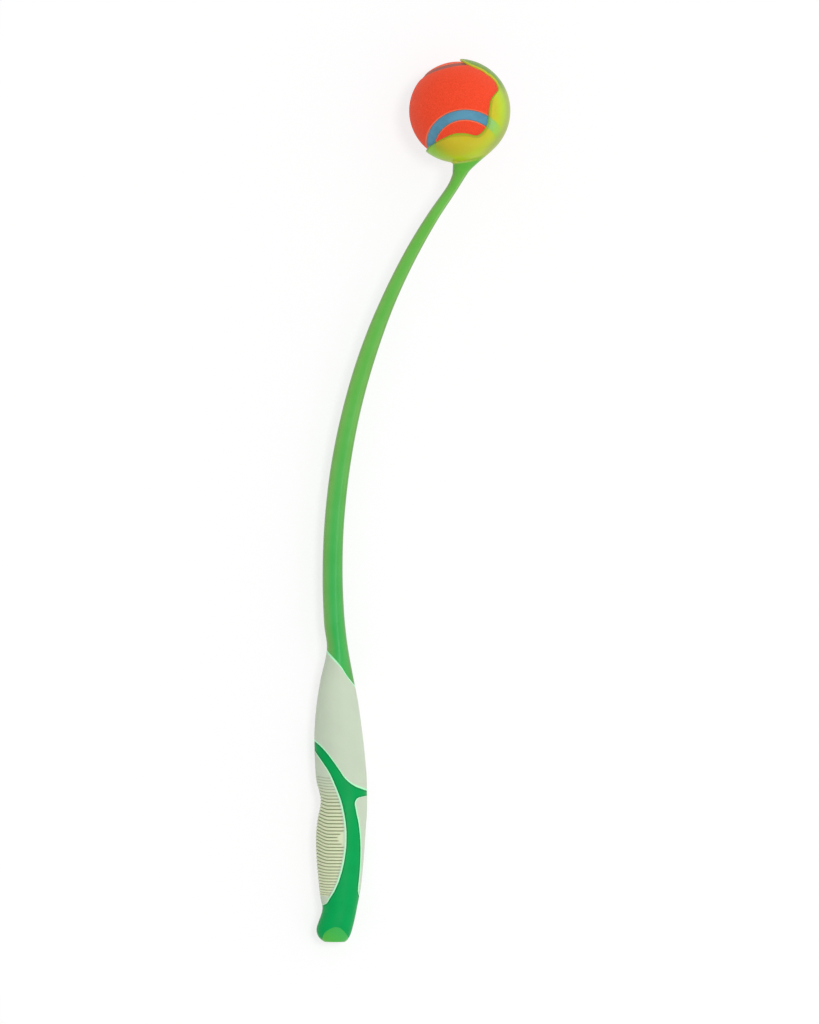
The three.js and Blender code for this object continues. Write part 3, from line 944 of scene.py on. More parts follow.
def rib_groove(point, inside):
    """At a place of the finger grip: how far it is ribbed, and how deep its groove is."""
    size = sizes()
    depth_share = (point.x + HANDLE_FRONT) / size.handle_depth
    length_share = (-point.y - SHOULDER_REACH) / size.handle_length
    steep = smooth_step(length_share, 0.44, 0.53) * (1 - smooth_step(length_share, 0.66, 0.8))
    rise = RIB_RISE / size.handle_length * smooth_step(0.28 - depth_share, 0, 0.36)
    rise *= 0.35 + 0.65 * steep
    count = read_line(RIB_PLACES, length_share + rise)
    last = RIB_PLACES[-1][1]
    off = [(place - middle) / radius for place, middle, radius in zip(
        (depth_share, length_share), NOTCH_MIDDLE, NOTCH_RADII
    )]
    ribbed = smooth_step(count, -1, -0.5) * (1 - smooth_step(count, last + 0.5, last + 1))
    ribbed *= smooth_step(inside, 1.4 * MILLIMETRE, 2.0 * MILLIMETRE)
    groove = smooth_step(0.2 - abs(count - round(count)), 0, 0.14)
    groove *= smooth_step(abs(off[0]) + abs(off[1]), 0.9, 1.05)
    groove *= 0.5 + 0.5 * smooth_step(count, 2, 10) * (1 - 0.6 * smooth_step(count, 22, 38))
    return ribbed * smooth_step(count, -2, 12), ribbed * groove


def grip_inset(distance, depth, groove=0.0):
    """How far a grip's point lies below the handle's outline: rounded edges outside, a plain wall.

    The distance is from its edge, and the depth goes from 0 outside to 1 inside.
    """
    size = sizes()
    rim = size.grip_edge - size.grip_rise
    if depth > 0:
        return rim + (size.grip_thickness - rim) * depth
    return rounded_drop(distance, size.grip_edge) - size.grip_rise + size.rib_depth * groove


def edge_grip(bm, shares, back, rows, columns, shape=None):
    """A grip that wraps the front or the back of the handle, as far as a side view line.

    shape(point, distance) gives how far its surface is ribbed and how deep it is grooved.
    """
    size = sizes()
    body = Body()
    layers = [bm.verts.layers.float[name] for name in GRIP_LAYERS]
    edge_line = level_line(shares)
    low, high = edge_line[0].x, edge_line[-1].x

    def place(vert, row, column):
        row = (1 - math.cos(math.pi * row)) / 2 if back else row
        level = low + (high - low) * row
        position = body.position_at((level - SHOULDER_REACH) / size.handle_length)
        angle = body.angle_at(read_line(edge_line, level), position)
        reach = angle if back else math.pi - angle
        across, depth = wrapped_section(column)
        turn = reach * crowd_edges(across, GRIP_CROWDING)
        middle = 0.0 if back else math.pi
        distance, ribbed, groove = 0.0, 0.0, 0.0
        if depth == 0:
            point = body.point(middle + turn, position)
            rim = body.point(middle + math.copysign(reach, turn), position)
            distance = (point - rim).length
            distance = min(distance, min(level - low, high - level) * 0.7 + distance * 0.3)
            if shape:
                ribbed, groove = shape(point, distance)
        for layer, value in zip(layers, (distance / MILLIMETRE, ribbed, groove)):
            vert[layer] = value
        return body.point(middle + turn, position, grip_inset(distance, depth, groove))

    mapped_grid(bm, rows, columns, place)


def make_finger_grip(bm):
    """The ribbed grip round the front of the handle."""
    edge_grip(bm, FINGER_EDGE_SHARES, False, FINGER_ROWS, FINGER_COLUMNS, rib_groove)


def make_palm_grip(bm):
    """The smooth grip round the back of the handle."""
    edge_grip(bm, PALM_EDGE_SHARES, True, PALM_ROWS, PALM_COLUMNS)


def make_sleeve(bm):
    """The sleeve over the shoulder, from its slanted top to its lower edge."""
    body = Body()
    edge_layer = bm.verts.layers.float["edge"]
    top_line, bottom_line = handle_line(SLEEVE_TOP_SHARES), handle_line(SLEEVE_BOTTOM_SHARES)
    start = body.handle_start
    ends = []
    for i in range(SLEEVE_COLUMNS + 1):
        angle = 2 * math.pi * (i % SLEEVE_COLUMNS) / SLEEVE_COLUMNS
        top = body.crossing(angle, top_line, start - 2, start + 4)
        bottom = body.crossing(angle, bottom_line, start + 2, start + 9)
        ends.append((angle, top, bottom, body.point(angle, top), body.point(angle, bottom)))

    def place(vert, row, column):
        along, depth = wrapped_section(row)
        angle, top, bottom, top_rim, bottom_rim = ends[round(column * SLEEVE_COLUMNS)]
        position = top + (bottom - top) * (1 + crowd_edges(along, SLEEVE_CROWDING)) / 2
        distance = 0.0
        if depth == 0:
            point = body.point(angle, position)
            distance = min((point - top_rim).length, (point - bottom_rim).length) * 0.75
        vert[edge_layer] = distance / MILLIMETRE
        return body.point(angle, position, grip_inset(distance, depth))

    mapped_grid(bm, SLEEVE_ROWS, SLEEVE_COLUMNS, place)


class THROWER_OT_grips(bpy.types.Operator):
    """Model the three soft grips: upper sleeve, ribbed finger grip and palm grip"""

    bl_idname = "thrower.grips"
    bl_label = "Soft Grips"

    def execute(self, context):
        material = grip_material()
        for name, build, node in (
            ("upper_grip_sleeve", make_sleeve, "upper_grip"),
            ("finger_grip_pad", make_finger_grip, "finger_grip"),
            ("palm_grip_strip", make_palm_grip, "palm_grip"),
        ):
            make_piece(name, build, material, "thrower", node, GRIP_LAYERS)
        return {"FINISHED"}


# The ball: felt panels, seam stripe and rubber core


def seam_point(share):
    """A point of the seam line on a ball of radius one, and the sideways direction there."""
    wide, wave = 1 - SEAM_WAVE_SHARE, SEAM_WAVE_SHARE
    angle = 2 * math.pi * share
    rise = 2 * math.sqrt(wide * wave)
    out = Vector((
        wide * math.cos(angle) + wave * math.cos(3 * angle),
        wide * math.sin(angle) - wave * math.sin(3 * angle),
        rise * math.sin(2 * angle),
    ))
    along = Vector((
        -wide * math.sin(angle) - 3 * wave * math.sin(3 * angle),
        wide * math.cos(angle) - 3 * wave * math.cos(3 * angle),
        2 * rise * math.cos(2 * angle),
    )).normalized()
    return out, along.cross(out).normalized()


def ball_turn():
    """How the ball is turned in the cup."""
    return (
        Matrix.Rotation(SEAM_ROLL, 4, "X")
        @ Matrix.Rotation(SEAM_LEAN, 4, "Y")
        @ Matrix.Rotation(SEAM_TURN, 4, "Z")
    )


def make_panel(bm, side):
    """One felt panel, on the side of the seam given as 1 or -1."""
    size = sizes()
    pole = Vector((0, 0, -side))
    edge_layer = bm.verts.layers.float["edge"]
    margin = (size.seam_width / 2 + PANEL_GAP) / size.ball_radius

    def rim_at(share):
        """A point of the panel's rim on a ball of radius one."""
        out, sideways = seam_point(share)
        return out * math.cos(margin) + sideways * (side * math.sin(margin))

    def disc_place(row, column):
        """Turns a place of the square grid into a turn and a distance from the middle."""
        a, b = 2 * row - 1, 2 * column - 1
        reach = max(abs(a), abs(b))
        if reach < 1e-9:
            return 0.0, 0.0
        if abs(a) >= abs(b):
            turn = (b / a) / 8 + (0.0 if a > 0 else 0.5)
        else:
            turn = 0.25 - (a / b) / 8 + (0.0 if b > 0 else 0.5)
        return turn % 1, reach

    rims = {}

    def place_at(radius_drop):
        """Places points on the rounded outside, or on the inside where a drop is given."""
        def place(vert, row, column):
            turn, reach = disc_place(row, column)
            key = round(turn * 1e6)
            if key not in rims:
                rim = rim_at(turn)
                _, sideways = seam_point(turn)
                ray = (rim * rim.dot(pole) - pole).normalized()
                rims[key] = (rim, pole.angle(rim), abs(ray.dot(sideways)))
            rim, span, square = rims[key]
            share = 1 - (1 - reach) ** 1.5
            distance = (1 - share) * span * size.ball_radius * square
            direction = pole.slerp(rim, share) if reach else pole.copy()
            vert[edge_layer] = distance / MILLIMETRE
            drop = radius_drop
            if not radius_drop:
                drop = rounded_drop(distance, size.felt_edge)
            return direction.normalized() * (size.ball_radius - drop)
        return place

    mapped_grid(bm, PANEL_STEPS, PANEL_STEPS, place_at(0.0))
    outer_rim = [edge for edge in bm.edges if edge.is_boundary]
    wall = bmesh.ops.extrude_edge_only(bm, edges=outer_rim)
    inner_radius = size.ball_radius - size.felt_thickness
    for item in wall["geom"]:
        if isinstance(item, bmesh.types.BMVert):
            item.co = item.co.normalized() * inner_radius
    mapped_grid(bm, PANEL_STEPS, PANEL_STEPS, place_at(size.felt_thickness))
    bmesh.ops.transform(bm, matrix=ball_turn(), verts=bm.verts)


def make_seam(bm):
    """The closed seam stripe: a bar with soft corners and a slightly hollow face."""
    size = sizes()
    half = size.seam_width / 2
    top = size.ball_radius - size.seam_recess
    bottom = size.ball_radius - size.felt_thickness
    corner, bevel = STRIPE_CORNER, 0.3 * STRIPE_CORNER
    section = [(-half, bottom), (-half, top - corner), (-half + bevel, top - bevel)]
    for share in (-0.86, -0.6, -0.3, 0, 0.3, 0.6, 0.86):
        section.append((share * half, top - STRIPE_HOLLOW * (1 - share**2)))
    section += [(half - bevel, top - bevel), (half, top - corner), (half, bottom)]

    def place(_, row, column):
        out, sideways = seam_point(row % 1)
        across, radius = section[round(column * len(section)) % len(section)]
        turn = across / size.ball_radius
        return (out * math.cos(turn) + sideways * math.sin(turn)) * radius

    mapped_grid(bm, SEAM_STEPS, len(section), place)
    bmesh.ops.transform(bm, matrix=ball_turn(), verts=bm.verts)


class THROWER_OT_ball(bpy.types.Operator):
    """Model the ball: two felt panels and the seam stripe over the rubber half shells"""

    bl_idname = "thrower.ball"
    bl_label = "Felt Ball"

    def execute(self, context):
        felt = felt_material()
        for name, side, node in (
            ("ball_felt_front", 1, "felt_panel_front"), ("ball_felt_back", -1, "felt_panel_back"),
        ):
            make_piece(
                name, lambda bm: make_panel(bm, side), felt, "ball", node, ("edge",)
            )
        make_piece(
            "ball_seam_stripe", make_seam, seam_material(), "ball", "seam_band"
        )
        rubber = rubber_material()
        for node in ("ball_shell_upper", "ball_shell_lower"):
            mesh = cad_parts[node].data
            mesh.materials.clear()
            mesh.materials.append(rubber)
        return {"FINISHED"}


# Materials


class Nodes:
    """Adds nodes to a tree. What goes into them is a number, a colour, a place or a socket."""

    def __init__(self, tree):
        self.tree = tree

    def feed(self, socket, value):
        """Links a socket to another, or sets it."""
        if isinstance(value, bpy.types.NodeSocket):
            self.tree.links.new(value, socket)
        elif socket.type == "RGBA":
            socket.default_value = (*value[:3], 1.0)
        else:
            socket.default_value = value

    def add(self, kind, inputs=None, **settings):
        """Adds a node with its settings and inputs, and returns its outputs."""
        node = self.tree.nodes.new(kind)
        for name, value in settings.items():
            setattr(node, name, value)
        for name, value in (inputs or {}).items():
            self.feed(node.inputs[name], value)
        return node.outputs

    def maths(self, operation, first, second=0.0):
        """One sum on two values."""
        return self.add("ShaderNodeMath", {0: first, 1: second}, operation=operation)[0]

    def times(self, first, second):
        """The product of two values."""
        return self.maths("MULTIPLY", first, second)

    def most(self, first, second):
        """The larger of two values."""
        return self.maths("MAXIMUM", first, second)

    def mix_colours(self, share, first, second):
        """The first colour where the share is 0, and the second where it is 1."""
        inputs = {0: share, 6: first, 7: second}
        return self.add("ShaderNodeMix", inputs, data_type="RGBA", clamp_factor=True)[2]

    def mix_values(self, share, first, second):
        """The same for two values."""
        inputs = {0: share, 2: first, 3: second}
        return self.add("ShaderNodeMix", inputs, data_type="FLOAT", clamp_factor=True)[0]

    def rise(self, value, low, high, to_low=0.0, to_high=1.0):
        """Goes smoothly from one value to another as what it follows goes from low to high."""
        inputs = {
            "Value": value, "From Min": low, "From Max": high, "To Min": to_low, "To Max": to_high,
        }
        return self.add("ShaderNodeMapRange", inputs, interpolation_type="SMOOTHSTEP")["Result"]

    def fade(self, value, low, high, strongest=1.0):
        """Goes smoothly down to 0 as what it follows goes from low to high."""
        return self.rise(value, low, high, strongest, 0.0)

    def seen_ray(self):
        """1 for a ray that shows a surface to the camera, straight or by way of gloss or glass."""
        path = self.add("ShaderNodeLightPath")
        seen = self.most(path["Is Camera Ray"], path["Is Glossy Ray"])
        return self.most(seen, path["Is Transmission Ray"])


class Surface(Nodes):
    """A new material with its shader, its output and the piece's own coordinates."""

    def __init__(self, name):
        self.material = bpy.data.materials.new(name)
        self.material.use_nodes = True
        super().__init__(self.material.node_tree)
        self.tree.nodes.clear()
        self.shader = self.tree.nodes.new("ShaderNodeBsdfPrincipled")
        self.output = self.tree.nodes.new("ShaderNodeOutputMaterial")
        self.feed(self.output.inputs["Surface"], self.shader.outputs["BSDF"])
        self.place = self.add("ShaderNodeTexCoord")["Object"]

    def attribute(self, name):
        """A value stored on the piece's points."""
        inputs = {"attribute_name": name, "attribute_type": "GEOMETRY"}
        return self.add("ShaderNodeAttribute", **inputs)["Fac"]

    def distance(self, point):
        """How far a place on the piece is from a point."""
        return self.add(
            "ShaderNodeVectorMath", {0: self.place, 1: point}, operation="DISTANCE"
        )["Value"]

    def offset(self, point):
        """How far a place on the piece is from a point along each axis."""
        off = self.add(
            "ShaderNodeVectorMath", {0: self.place, 1: point}, operation="SUBTRACT"
        )["Vector"]
        return self.add("ShaderNodeSeparateXYZ", {"Vector": off})

    def finish(self, inputs):
        """Feeds the shader and returns the material."""
        for name, value in inputs.items():
            self.feed(self.shader.inputs[name], value)
        return self.material


class GrainedSurface(Surface):
    """The same with the shared mottling and grain over it."""

    def __init__(self, name, mottle_scale, grain_scale):
        super().__init__(name)
        self.grain = self.add("ShaderNodeGroup", {
            "Vector": self.place, "Mottle Scale": mottle_scale, "Grain Scale": grain_scale,
        }, node_tree=surface_grain())
        self.mottle = self.rise(self.grain["Mottle"], 0.3, 0.7)

    def mottled(self, paint, darkest):
        """A colour that the mottling darkens, to a share of itself at most."""
        return self.mix_colours(self.mottle, [part * darkest for part in paint], paint)

    def roughness(self, smoothest, roughest, spread=0.25):
        """A roughness that follows the grain."""
        return self.rise(self.grain["Grain"], 0.5 - spread, 0.5 + spread, smoothest, roughest)

    def bump(self, strength, depth, height=None):
        """The normal of the surface bumped by its grain, or by another height."""
        return self.add("ShaderNodeBump", {
            "Height": height or self.grain["Height"], "Strength": strength, "Distance": depth,
        })["Normal"]


def surface_grain():
    """A shared group: soft mottling and fine grain, each from 0 to 1."""
    name = "surface_grain"
    if name in bpy.data.node_groups:
        return bpy.data.node_groups[name]
    tree = bpy.data.node_groups.new(name, "ShaderNodeTree")
    sockets = tree.interface
    sockets.new_socket("Vector", in_out="INPUT", socket_type="NodeSocketVector")
    for socket in ("Mottle Scale", "Grain Scale"):
        sockets.new_socket(socket, in_out="INPUT", socket_type="NodeSocketFloat")
    for socket in ("Mottle", "Grain", "Height"):
        sockets.new_socket(socket, in_out="OUTPUT", socket_type="NodeSocketFloat")
    nodes = Nodes(tree)
    start = nodes.add("NodeGroupInput")
    mottle = nodes.add("ShaderNodeTexNoise", {
        "Vector": start["Vector"], "Scale": start["Mottle Scale"], "Detail": 4.0,
        "Roughness": 0.55,
    })["Fac"]
    grain = nodes.add("ShaderNodeTexNoise", {
        "Vector": start["Vector"], "Scale": start["Grain Scale"], "Detail": 3.0,
        "Roughness": 0.6,
    })["Fac"]
    pits = nodes.add("ShaderNodeTexVoronoi", {
        "Vector": start["Vector"], "Scale": start["Grain Scale"],
    })["Distance"]
    height = nodes.maths("ADD", grain, nodes.times(pits, 0.5))
    nodes.add("NodeGroupOutput", {"Mottle": mottle, "Grain": grain, "Height": height})
    return tree


def arm_green(plastic, distance, below_neck):
    """The arm's green, deeper downwards, with painted shade and a painted shadow line on its
    edges, and painted highlights along its crease and at the low corner of the butt.
    """
    shade = colours()
    upper = plastic.rise(distance, 0.1 * SHOULDER_REACH, 0.45 * SHOULDER_REACH)
    lower = plastic.rise(distance, 0.45 * SHOULDER_REACH, SHOULDER_REACH)
    green = plastic.mix_colours(upper, shade.arm_top, shade.arm_middle)
    green = plastic.mix_colours(lower, green, shade.arm_bottom)
    side = plastic.attribute("side")
    on_flank = plastic.rise(plastic.attribute("flank"), 0.01, 0.12)
    along_edge = plastic.times(below_neck, on_flank)
    back_edge = plastic.times(along_edge, plastic.rise(lower, 0.0, 1.0, 0.55, 0.2))
    above_middle = plastic.times(below_neck, plastic.fade(upper, 0.0, 1.0, 0.6))
    crease = plastic.times(plastic.rise(side, 0.64, 0.72), plastic.fade(side, 0.76, 0.84))
    for amount, where, paint in (
        # Painted shade along the arm's front edge and over its back half near the edge.
        (plastic.fade(side, -0.95, 0.0, 0.75), below_neck, shade.arm_edge_shade),
        (plastic.rise(side, 0.2, 0.8), back_edge, shade.arm_edge_shade),
        # Painted shadow line along the arm's back edge.
        (plastic.rise(side, 0.75, 0.93, 0.0, 0.65), along_edge, shade.arm_back_shadow),
        # Painted highlight along the crease, in the arm's upper part.
        (crease, above_middle, shade.arm_crease_highlight),
    ):
        green = plastic.mix_colours(plastic.times(amount, where), green, paint)
    # Painted highlight on the tang's foot at the low corner of the butt.
    foot = laid_down() @ handle_place(*FOOT_HIGHLIGHT_SHARES).to_3d()
    foot_highlight = plastic.fade(plastic.distance(foot), 5 * MILLIMETRE, 19 * MILLIMETRE, 0.7)
    return plastic.mix_colours(foot_highlight, green, shade.foot)


def cup_lime(plastic, off, on_finger):
    """The cup's lime, with painted light from the orange ball glowing through its thin wall:
    one tint over the ball, and others where its wall turns away from view.
    """
    shade = colours()
    radius = sizes().ball_radius
    sideways = plastic.maths("ABSOLUTE", off["Z"])
    over_ball = plastic.rise(sideways, 0.5 * radius, 0.85 * radius)
    past_lip = plastic.rise(off["X"], -0.6 * radius, -0.1 * radius)
    on_right = plastic.rise(off["X"], 0.25 * radius, 0.7 * radius)
    outer = plastic.mix_colours(past_lip, shade.cup_lip, shade.cup_low)
    outer = plastic.mix_colours(on_right, outer, shade.cup_outer)
    outer = plastic.mix_colours(on_finger, outer, shade.finger)
    return plastic.mix_colours(over_ball, outer, shade.cup)


def cup_alpha(plastic, from_root, beyond, rim):
    """How solid the plastic is: clear at the cup's wall, solid at its rim and from the neck on.

    Inner faces are hidden, so that light meets each wall once, except round the neck's root.
    """
    facing = plastic.add("ShaderNodeLayerWeight", {"Blend": 0.5})["Facing"]
    solid = plastic.fade(from_root, 7 * MILLIMETRE, 13 * MILLIMETRE)
    solid = plastic.most(plastic.most(solid, beyond), plastic.times(rim, 0.85))
    thick = plastic.rise(facing, 0.2, 0.65, CUP_ALPHA, 1.0)
    clear = plastic.mix_values(plastic.seen_ray(), CUP_SHADE, plastic.most(thick, solid))
    alpha = plastic.mix_values(beyond, clear, 1.0)
    at_neck = plastic.fade(from_root, 14 * MILLIMETRE, 18 * MILLIMETRE)
    inner_face = plastic.add("ShaderNodeNewGeometry")["Backfacing"]
    in_cup = plastic.maths("SUBTRACT", 1.0, plastic.most(at_neck, beyond))
    shown = plastic.maths("SUBTRACT", 1.0, plastic.times(inner_face, in_cup))
    return plastic.times(alpha, shown)


def arm_material():
    """Translucent green plastic, thin and lime at the cup, and deeper towards the handle."""
    shade = colours()
    size = sizes()
    plastic = GrainedSurface("arm_plastic_green", 45.0, 900.0)
    wall = size.ball_radius + size.cup_clearance + size.cup_wall
    distance = plastic.distance(ball_centre())
    beyond = plastic.rise(distance, wall + 0.1 * MILLIMETRE, wall + 2 * MILLIMETRE)
    below_neck = plastic.rise(distance, wall + 2 * MILLIMETRE, wall + 12 * MILLIMETRE)
    root_angle = (NECK_FRONT_ANGLE + NECK_BACK_ANGLE) / 2
    root = laid_down() @ (Vector((math.cos(root_angle), math.sin(root_angle), 0)) * wall)
    from_root = plastic.distance(root)
    near_root = plastic.fade(from_root, 6 * MILLIMETRE, 13 * MILLIMETRE, 0.8)
    off = plastic.offset(ball_centre())
    on_finger = plastic.rise(off["Y"], 0.3 * size.ball_radius, 0.6 * size.ball_radius)
    rim = plastic.attribute("rim")
    tint = plastic.mix_colours(
        plastic.most(beyond, near_root), cup_lime(plastic, off, on_finger),
        arm_green(plastic, distance, below_neck),
    )
    # Painted light on the cup's rim: a painted shade line, and a painted highlight on the finger's
    # edge.
    rim_shade_and_highlight = plastic.mix_colours(on_finger, shade.cup_rim, shade.finger_rim_highlight)
    tint = plastic.mix_colours(plastic.times(rim, 0.7), tint, rim_shade_and_highlight)
    deeper = plastic.add("ShaderNodeHueSaturation", {
        "Color": tint, "Saturation": 1.03, "Value": 0.94,
    })["Color"]
    return plastic.finish({
        "Base Color": plastic.mix_colours(plastic.mottle, deeper, tint),
        "Alpha": cup_alpha(plastic, from_root, beyond, rim),
        "Roughness": plastic.roughness(0.26, 0.36, 0.3),
        "Specular IOR Level": 0.1,
        "Subsurface Weight": 0.05,
        "Subsurface Radius": (0.3, 1.0, 0.25),
        "Subsurface Scale": 3 * MILLIMETRE,
        "Normal": plastic.bump(0.05, 0.05 * MILLIMETRE),
    })


def shell_material():
    """Deep green plastic of the handle, with a fine satin texture and painted shade beside the
    grips.
    """
    shade = colours()
    plastic = GrainedSurface("handle_plastic_green", 70.0, 1400.0)
    # Painted shade: a thin dark line on the shell beside the grips' edges.
    beside_grip = plastic.fade(plastic.attribute("edge"), 0.35, 1.1, 0.7)
    green = plastic.mottled(shade.shell, 0.92)
    return plastic.finish({
        "Base Color": plastic.mix_colours(beside_grip, green, shade.shell_shade_line),
        "Roughness": plastic.roughness(0.36, 0.5),
        "Specular IOR Level": 0.08,
        "Subsurface Weight": 0.05,
        "Subsurface Radius": (0.1, 1.0, 0.4),
        "Subsurface Scale": 2 * MILLIMETRE,
        "Normal": plastic.bump(0.18, 0.05 * MILLIMETRE),
    })


def grip_material():
    """Pale soft rubber, with a lighter, greener painted highlight along its thin edges
    and painted shade in the grooves.
    """
    shade = colours()
    soft = GrainedSurface("grip_rubber_pale", 55.0, 2200.0)
    edge = soft.attribute("edge")
    ribbed = soft.times(soft.attribute("ribbed"), soft.rise(edge, 1.8, 3.4))
    pale = soft.mix_colours(ribbed, soft.mottled(shade.grip, 0.96), shade.ribs)
    # Painted shade in the grooves, on top of their real depth.
    pale = soft.mix_colours(soft.attribute("groove"), pale, shade.groove)
    return soft.finish({
        # Painted highlight along the grips' rounded edges.
        "Base Color": soft.mix_colours(soft.fade(edge, 0.95, 1.45), pale, shade.grip_rim_highlight),
        "Roughness": soft.roughness(0.55, 0.72),
        "Subsurface Weight": 0.2,
        "Subsurface Radius": (0.6, 1.0, 0.6),
        "Subsurface Scale": 1.5 * MILLIMETRE,
        "Sheen Weight": 0.08,
        "Normal": soft.bump(0.25, 0.06 * MILLIMETRE),
    })


def felt_material():
    """Orange felt: short matted fibres with a soft sheen, and a paler painted highlight on its
    edges.
    """
    shade = colours()
    felt = GrainedSurface("ball_felt_orange", 120.0, 1800.0)
    stretched = felt.add("ShaderNodeMapping", {
        "Vector": felt.place, "Scale": (1.0, 0.35, 0.6),
    })["Vector"]
    fibres = felt.add("ShaderNodeTexNoise", {
        "Vector": stretched, "Scale": 2600.0, "Detail": 5.0, "Roughness": 0.7,
        "Distortion": 1.2,
    })["Fac"]
    darker = [part * 0.82 for part in shade.felt]
    paler = [min(1.0, part * 1.05 + 0.02) for part in shade.felt]
    orange = felt.mix_colours(felt.rise(fibres, 0.35, 0.65), darker, paler)
    orange = felt.mix_colours(felt.times(felt.mottle, 0.25), orange, shade.felt)
    # Painted highlight: the felt's edges are made paler.
    highlit = felt.fade(felt.attribute("edge"), 0.1, 1.0, 0.45)
    height = felt.maths("ADD", fibres, felt.times(felt.grain["Grain"], 0.6))
    return felt.finish({
        "Base Color": felt.mix_colours(highlit, orange, shade.felt_highlight),
        "Roughness": 0.95,
        "Specular IOR Level": 0.2,
        "Sheen Weight": 0.15,
        "Sheen Roughness": 0.5,
        "Sheen Tint": (1.0, 0.72, 0.6),
        "Normal": felt.bump(0.5, 0.12 * MILLIMETRE, height),
    })


def seam_material():
    """Blue seam stripe: matte rubber with a fine grain, turned brown at the ball's top by
    painted shade.
    """
    shade = colours()
    radius = sizes().ball_radius
    stripe = GrainedSurface("ball_seam_blue", 160.0, 2600.0)
    # Painted shade: the stripe turns brown towards the ball's top.
    shaded = stripe.rise(stripe.offset(ball_centre())["Y"], 0.5 * radius, 0.75 * radius)
    blue = stripe.mottled(shade.seam, 0.82)
    return stripe.finish({
        "Base Color": stripe.mix_colours(shaded, blue, shade.seam_shade),
        "Roughness": stripe.roughness(0.62, 0.8, 0.3),
        "Normal": stripe.bump(0.35, 0.07 * MILLIMETRE),
    })


def rubber_material():
    """Grey rubber of the ball's core, with a moulded grain."""
    rubber = GrainedSurface("ball_rubber_grey", 90.0, 1500.0)
    return rubber.finish({
        "Base Color": rubber.mottled(colours().rubber, 0.75),
        "Roughness": 0.85,
        "Normal": rubber.bump(0.4, 0.1 * MILLIMETRE),
    })


# The stage


def key_lamp():
    """A far lamp in the photograph's direction, with soft shadows."""
    lamp = bpy.data.lights.new("key_lamp", "SUN")
    lamp.energy = KEY_STRENGTH
    lamp.angle = math.radians(KEY_SPREAD)
    light = bpy.data.objects.new("key_lamp", lamp)
    bpy.context.scene.collection.objects.link(light)
    towards = (laid_down().to_3x3() @ Vector(KEY_DIRECTION)).normalized()
    light.rotation_mode = "QUATERNION"
    light.rotation_quaternion = towards.to_track_quat("Z", "Y")


def studio_world():
    """A soft light all round, a little brighter on one side, which shows as white."""
    world = bpy.data.worlds.new("studio")
    world.use_nodes = True
    nodes = Nodes(world.node_tree)
    direction = nodes.add("ShaderNodeTexCoord")["Generated"]
    sideways = nodes.add("ShaderNodeSeparateXYZ", {"Vector": direction})["X"]
    slope = nodes.times(sideways, AMBIENT_STRENGTH * AMBIENT_SLOPE)
    even = nodes.maths("ADD", slope, AMBIENT_STRENGTH)
    background = world.node_tree.nodes["Background"]
    nodes.feed(background.inputs["Color"], (1.0, 1.0, 1.0))
    nodes.feed(background.inputs["Strength"], nodes.mix_values(nodes.seen_ray(), even, 1.0))
    return world


def floor_material():
    """A pale floor that shows as white and keeps the soft shadow of the thrower."""
    floor = Surface("pale_floor")
    floor.finish({"Base Color": FLOOR_COLOUR, "Roughness": 0.9, "Specular IOR Level": 0.0})
    white = floor.add("ShaderNodeEmission", {"Strength": 1.0})["Emission"]
    share = floor.times(floor.seen_ray(), FLOOR_WHITE)
    shown = floor.add("ShaderNodeMixShader", {0: share, 1: floor.shader.outputs["BSDF"], 2: white})
    floor.feed(floor.output.inputs["Surface"], shown["Shader"])
    return floor.material


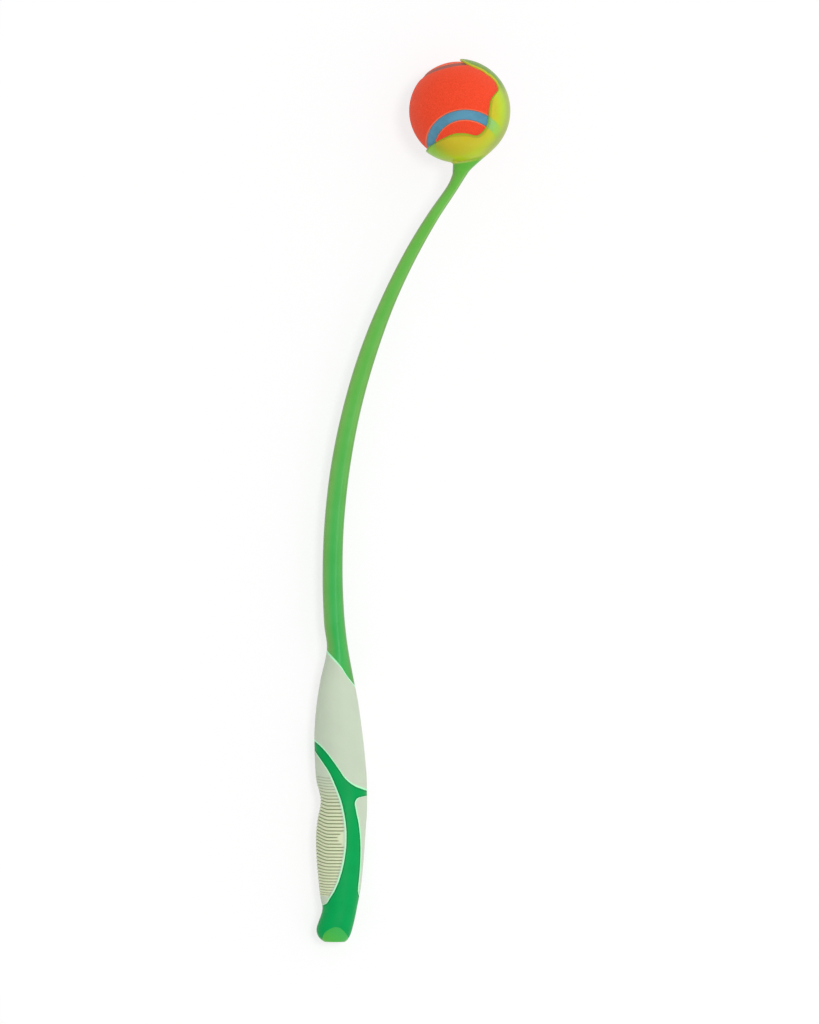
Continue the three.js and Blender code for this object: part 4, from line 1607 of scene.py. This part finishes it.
class THROWER_OT_stage(bpy.types.Operator):
    """Set up the pale floor, the soft lamps and the camera at the photograph's angle"""

    bl_idname = "thrower.stage"
    bl_label = "Stage"

    def execute(self, context):
        scene = context.scene
        bm = bmesh.new()
        bmesh.ops.create_grid(bm, x_segments=1, y_segments=1, size=FLOOR_REACH)
        bmesh.ops.translate(bm, verts=bm.verts, vec=(0, 0, -FLOOR_DROP))
        mesh = bpy.data.meshes.new("floor")
        bm.to_mesh(mesh)
        bm.free()
        mesh.materials.append(floor_material())
        floor = bpy.data.objects.new("floor", mesh)
        scene.collection.objects.link(floor)
        key_lamp()
        scene.world = studio_world()
        scene.view_settings.view_transform = "Standard"
        self.camera(scene)
        return {"FINISHED"}

    def camera(self, scene):
        """The camera looks at the thrower's side, square to it, from far away."""
        size = sizes()
        pixel = 2 * size.ball_radius / BALL_PIXELS_ACROSS
        middle = Vector((PHOTO_WIDTH / 2, PHOTO_HEIGHT / 2)) - BALL_PIXEL
        target = Vector((middle.x * pixel, -middle.y * pixel, CAMERA_DISTANCE))
        data = bpy.data.cameras.new("camera")
        data.sensor_width = SENSOR_WIDTH
        data.lens = SENSOR_WIDTH * CAMERA_DISTANCE / (PHOTO_HEIGHT * pixel)
        camera = bpy.data.objects.new("camera", data)
        scene.collection.objects.link(camera)
        camera.matrix_world = laid_down() @ Matrix.Translation(target)
        scene.camera = camera


class THROWER_PT_panel(bpy.types.Panel):
    """Lists the thrower's pieces and its settings"""

    bl_idname = "THROWER_PT_panel"
    bl_label = "Ball Thrower"
    bl_space_type = "VIEW_3D"
    bl_region_type = "UI"
    bl_category = "Ball Thrower"

    def draw(self, context):
        layout = self.layout
        for operator in OPERATORS:
            layout.operator(operator.bl_idname)
        for group in (context.scene.thrower_sizes, context.scene.thrower_colours):
            column = layout.column(align=True)
            for name in group.__annotations__:
                column.prop(group, name)


OPERATORS = (
    THROWER_OT_stage,
    THROWER_OT_arm,
    THROWER_OT_handle_shell,
    THROWER_OT_grips,
    THROWER_OT_ball,
)
CLASSES = (ThrowerSizes, ThrowerColours, *OPERATORS, THROWER_PT_panel)


def register():
    for kind in CLASSES:
        bpy.utils.register_class(kind)
    bpy.types.Scene.thrower_sizes = bpy.props.PointerProperty(type=ThrowerSizes)
    bpy.types.Scene.thrower_colours = bpy.props.PointerProperty(type=ThrowerColours)


def unregister():
    del bpy.types.Scene.thrower_colours
    del bpy.types.Scene.thrower_sizes
    for kind in reversed(CLASSES):
        bpy.utils.unregister_class(kind)


def main():
    """Builds the stage and every piece."""
    register()
    bpy.ops.thrower.stage()
    bpy.ops.thrower.arm()
    bpy.ops.thrower.handle_shell()
    bpy.ops.thrower.grips()
    bpy.ops.thrower.ball()


if __name__ == "__main__":
    main()
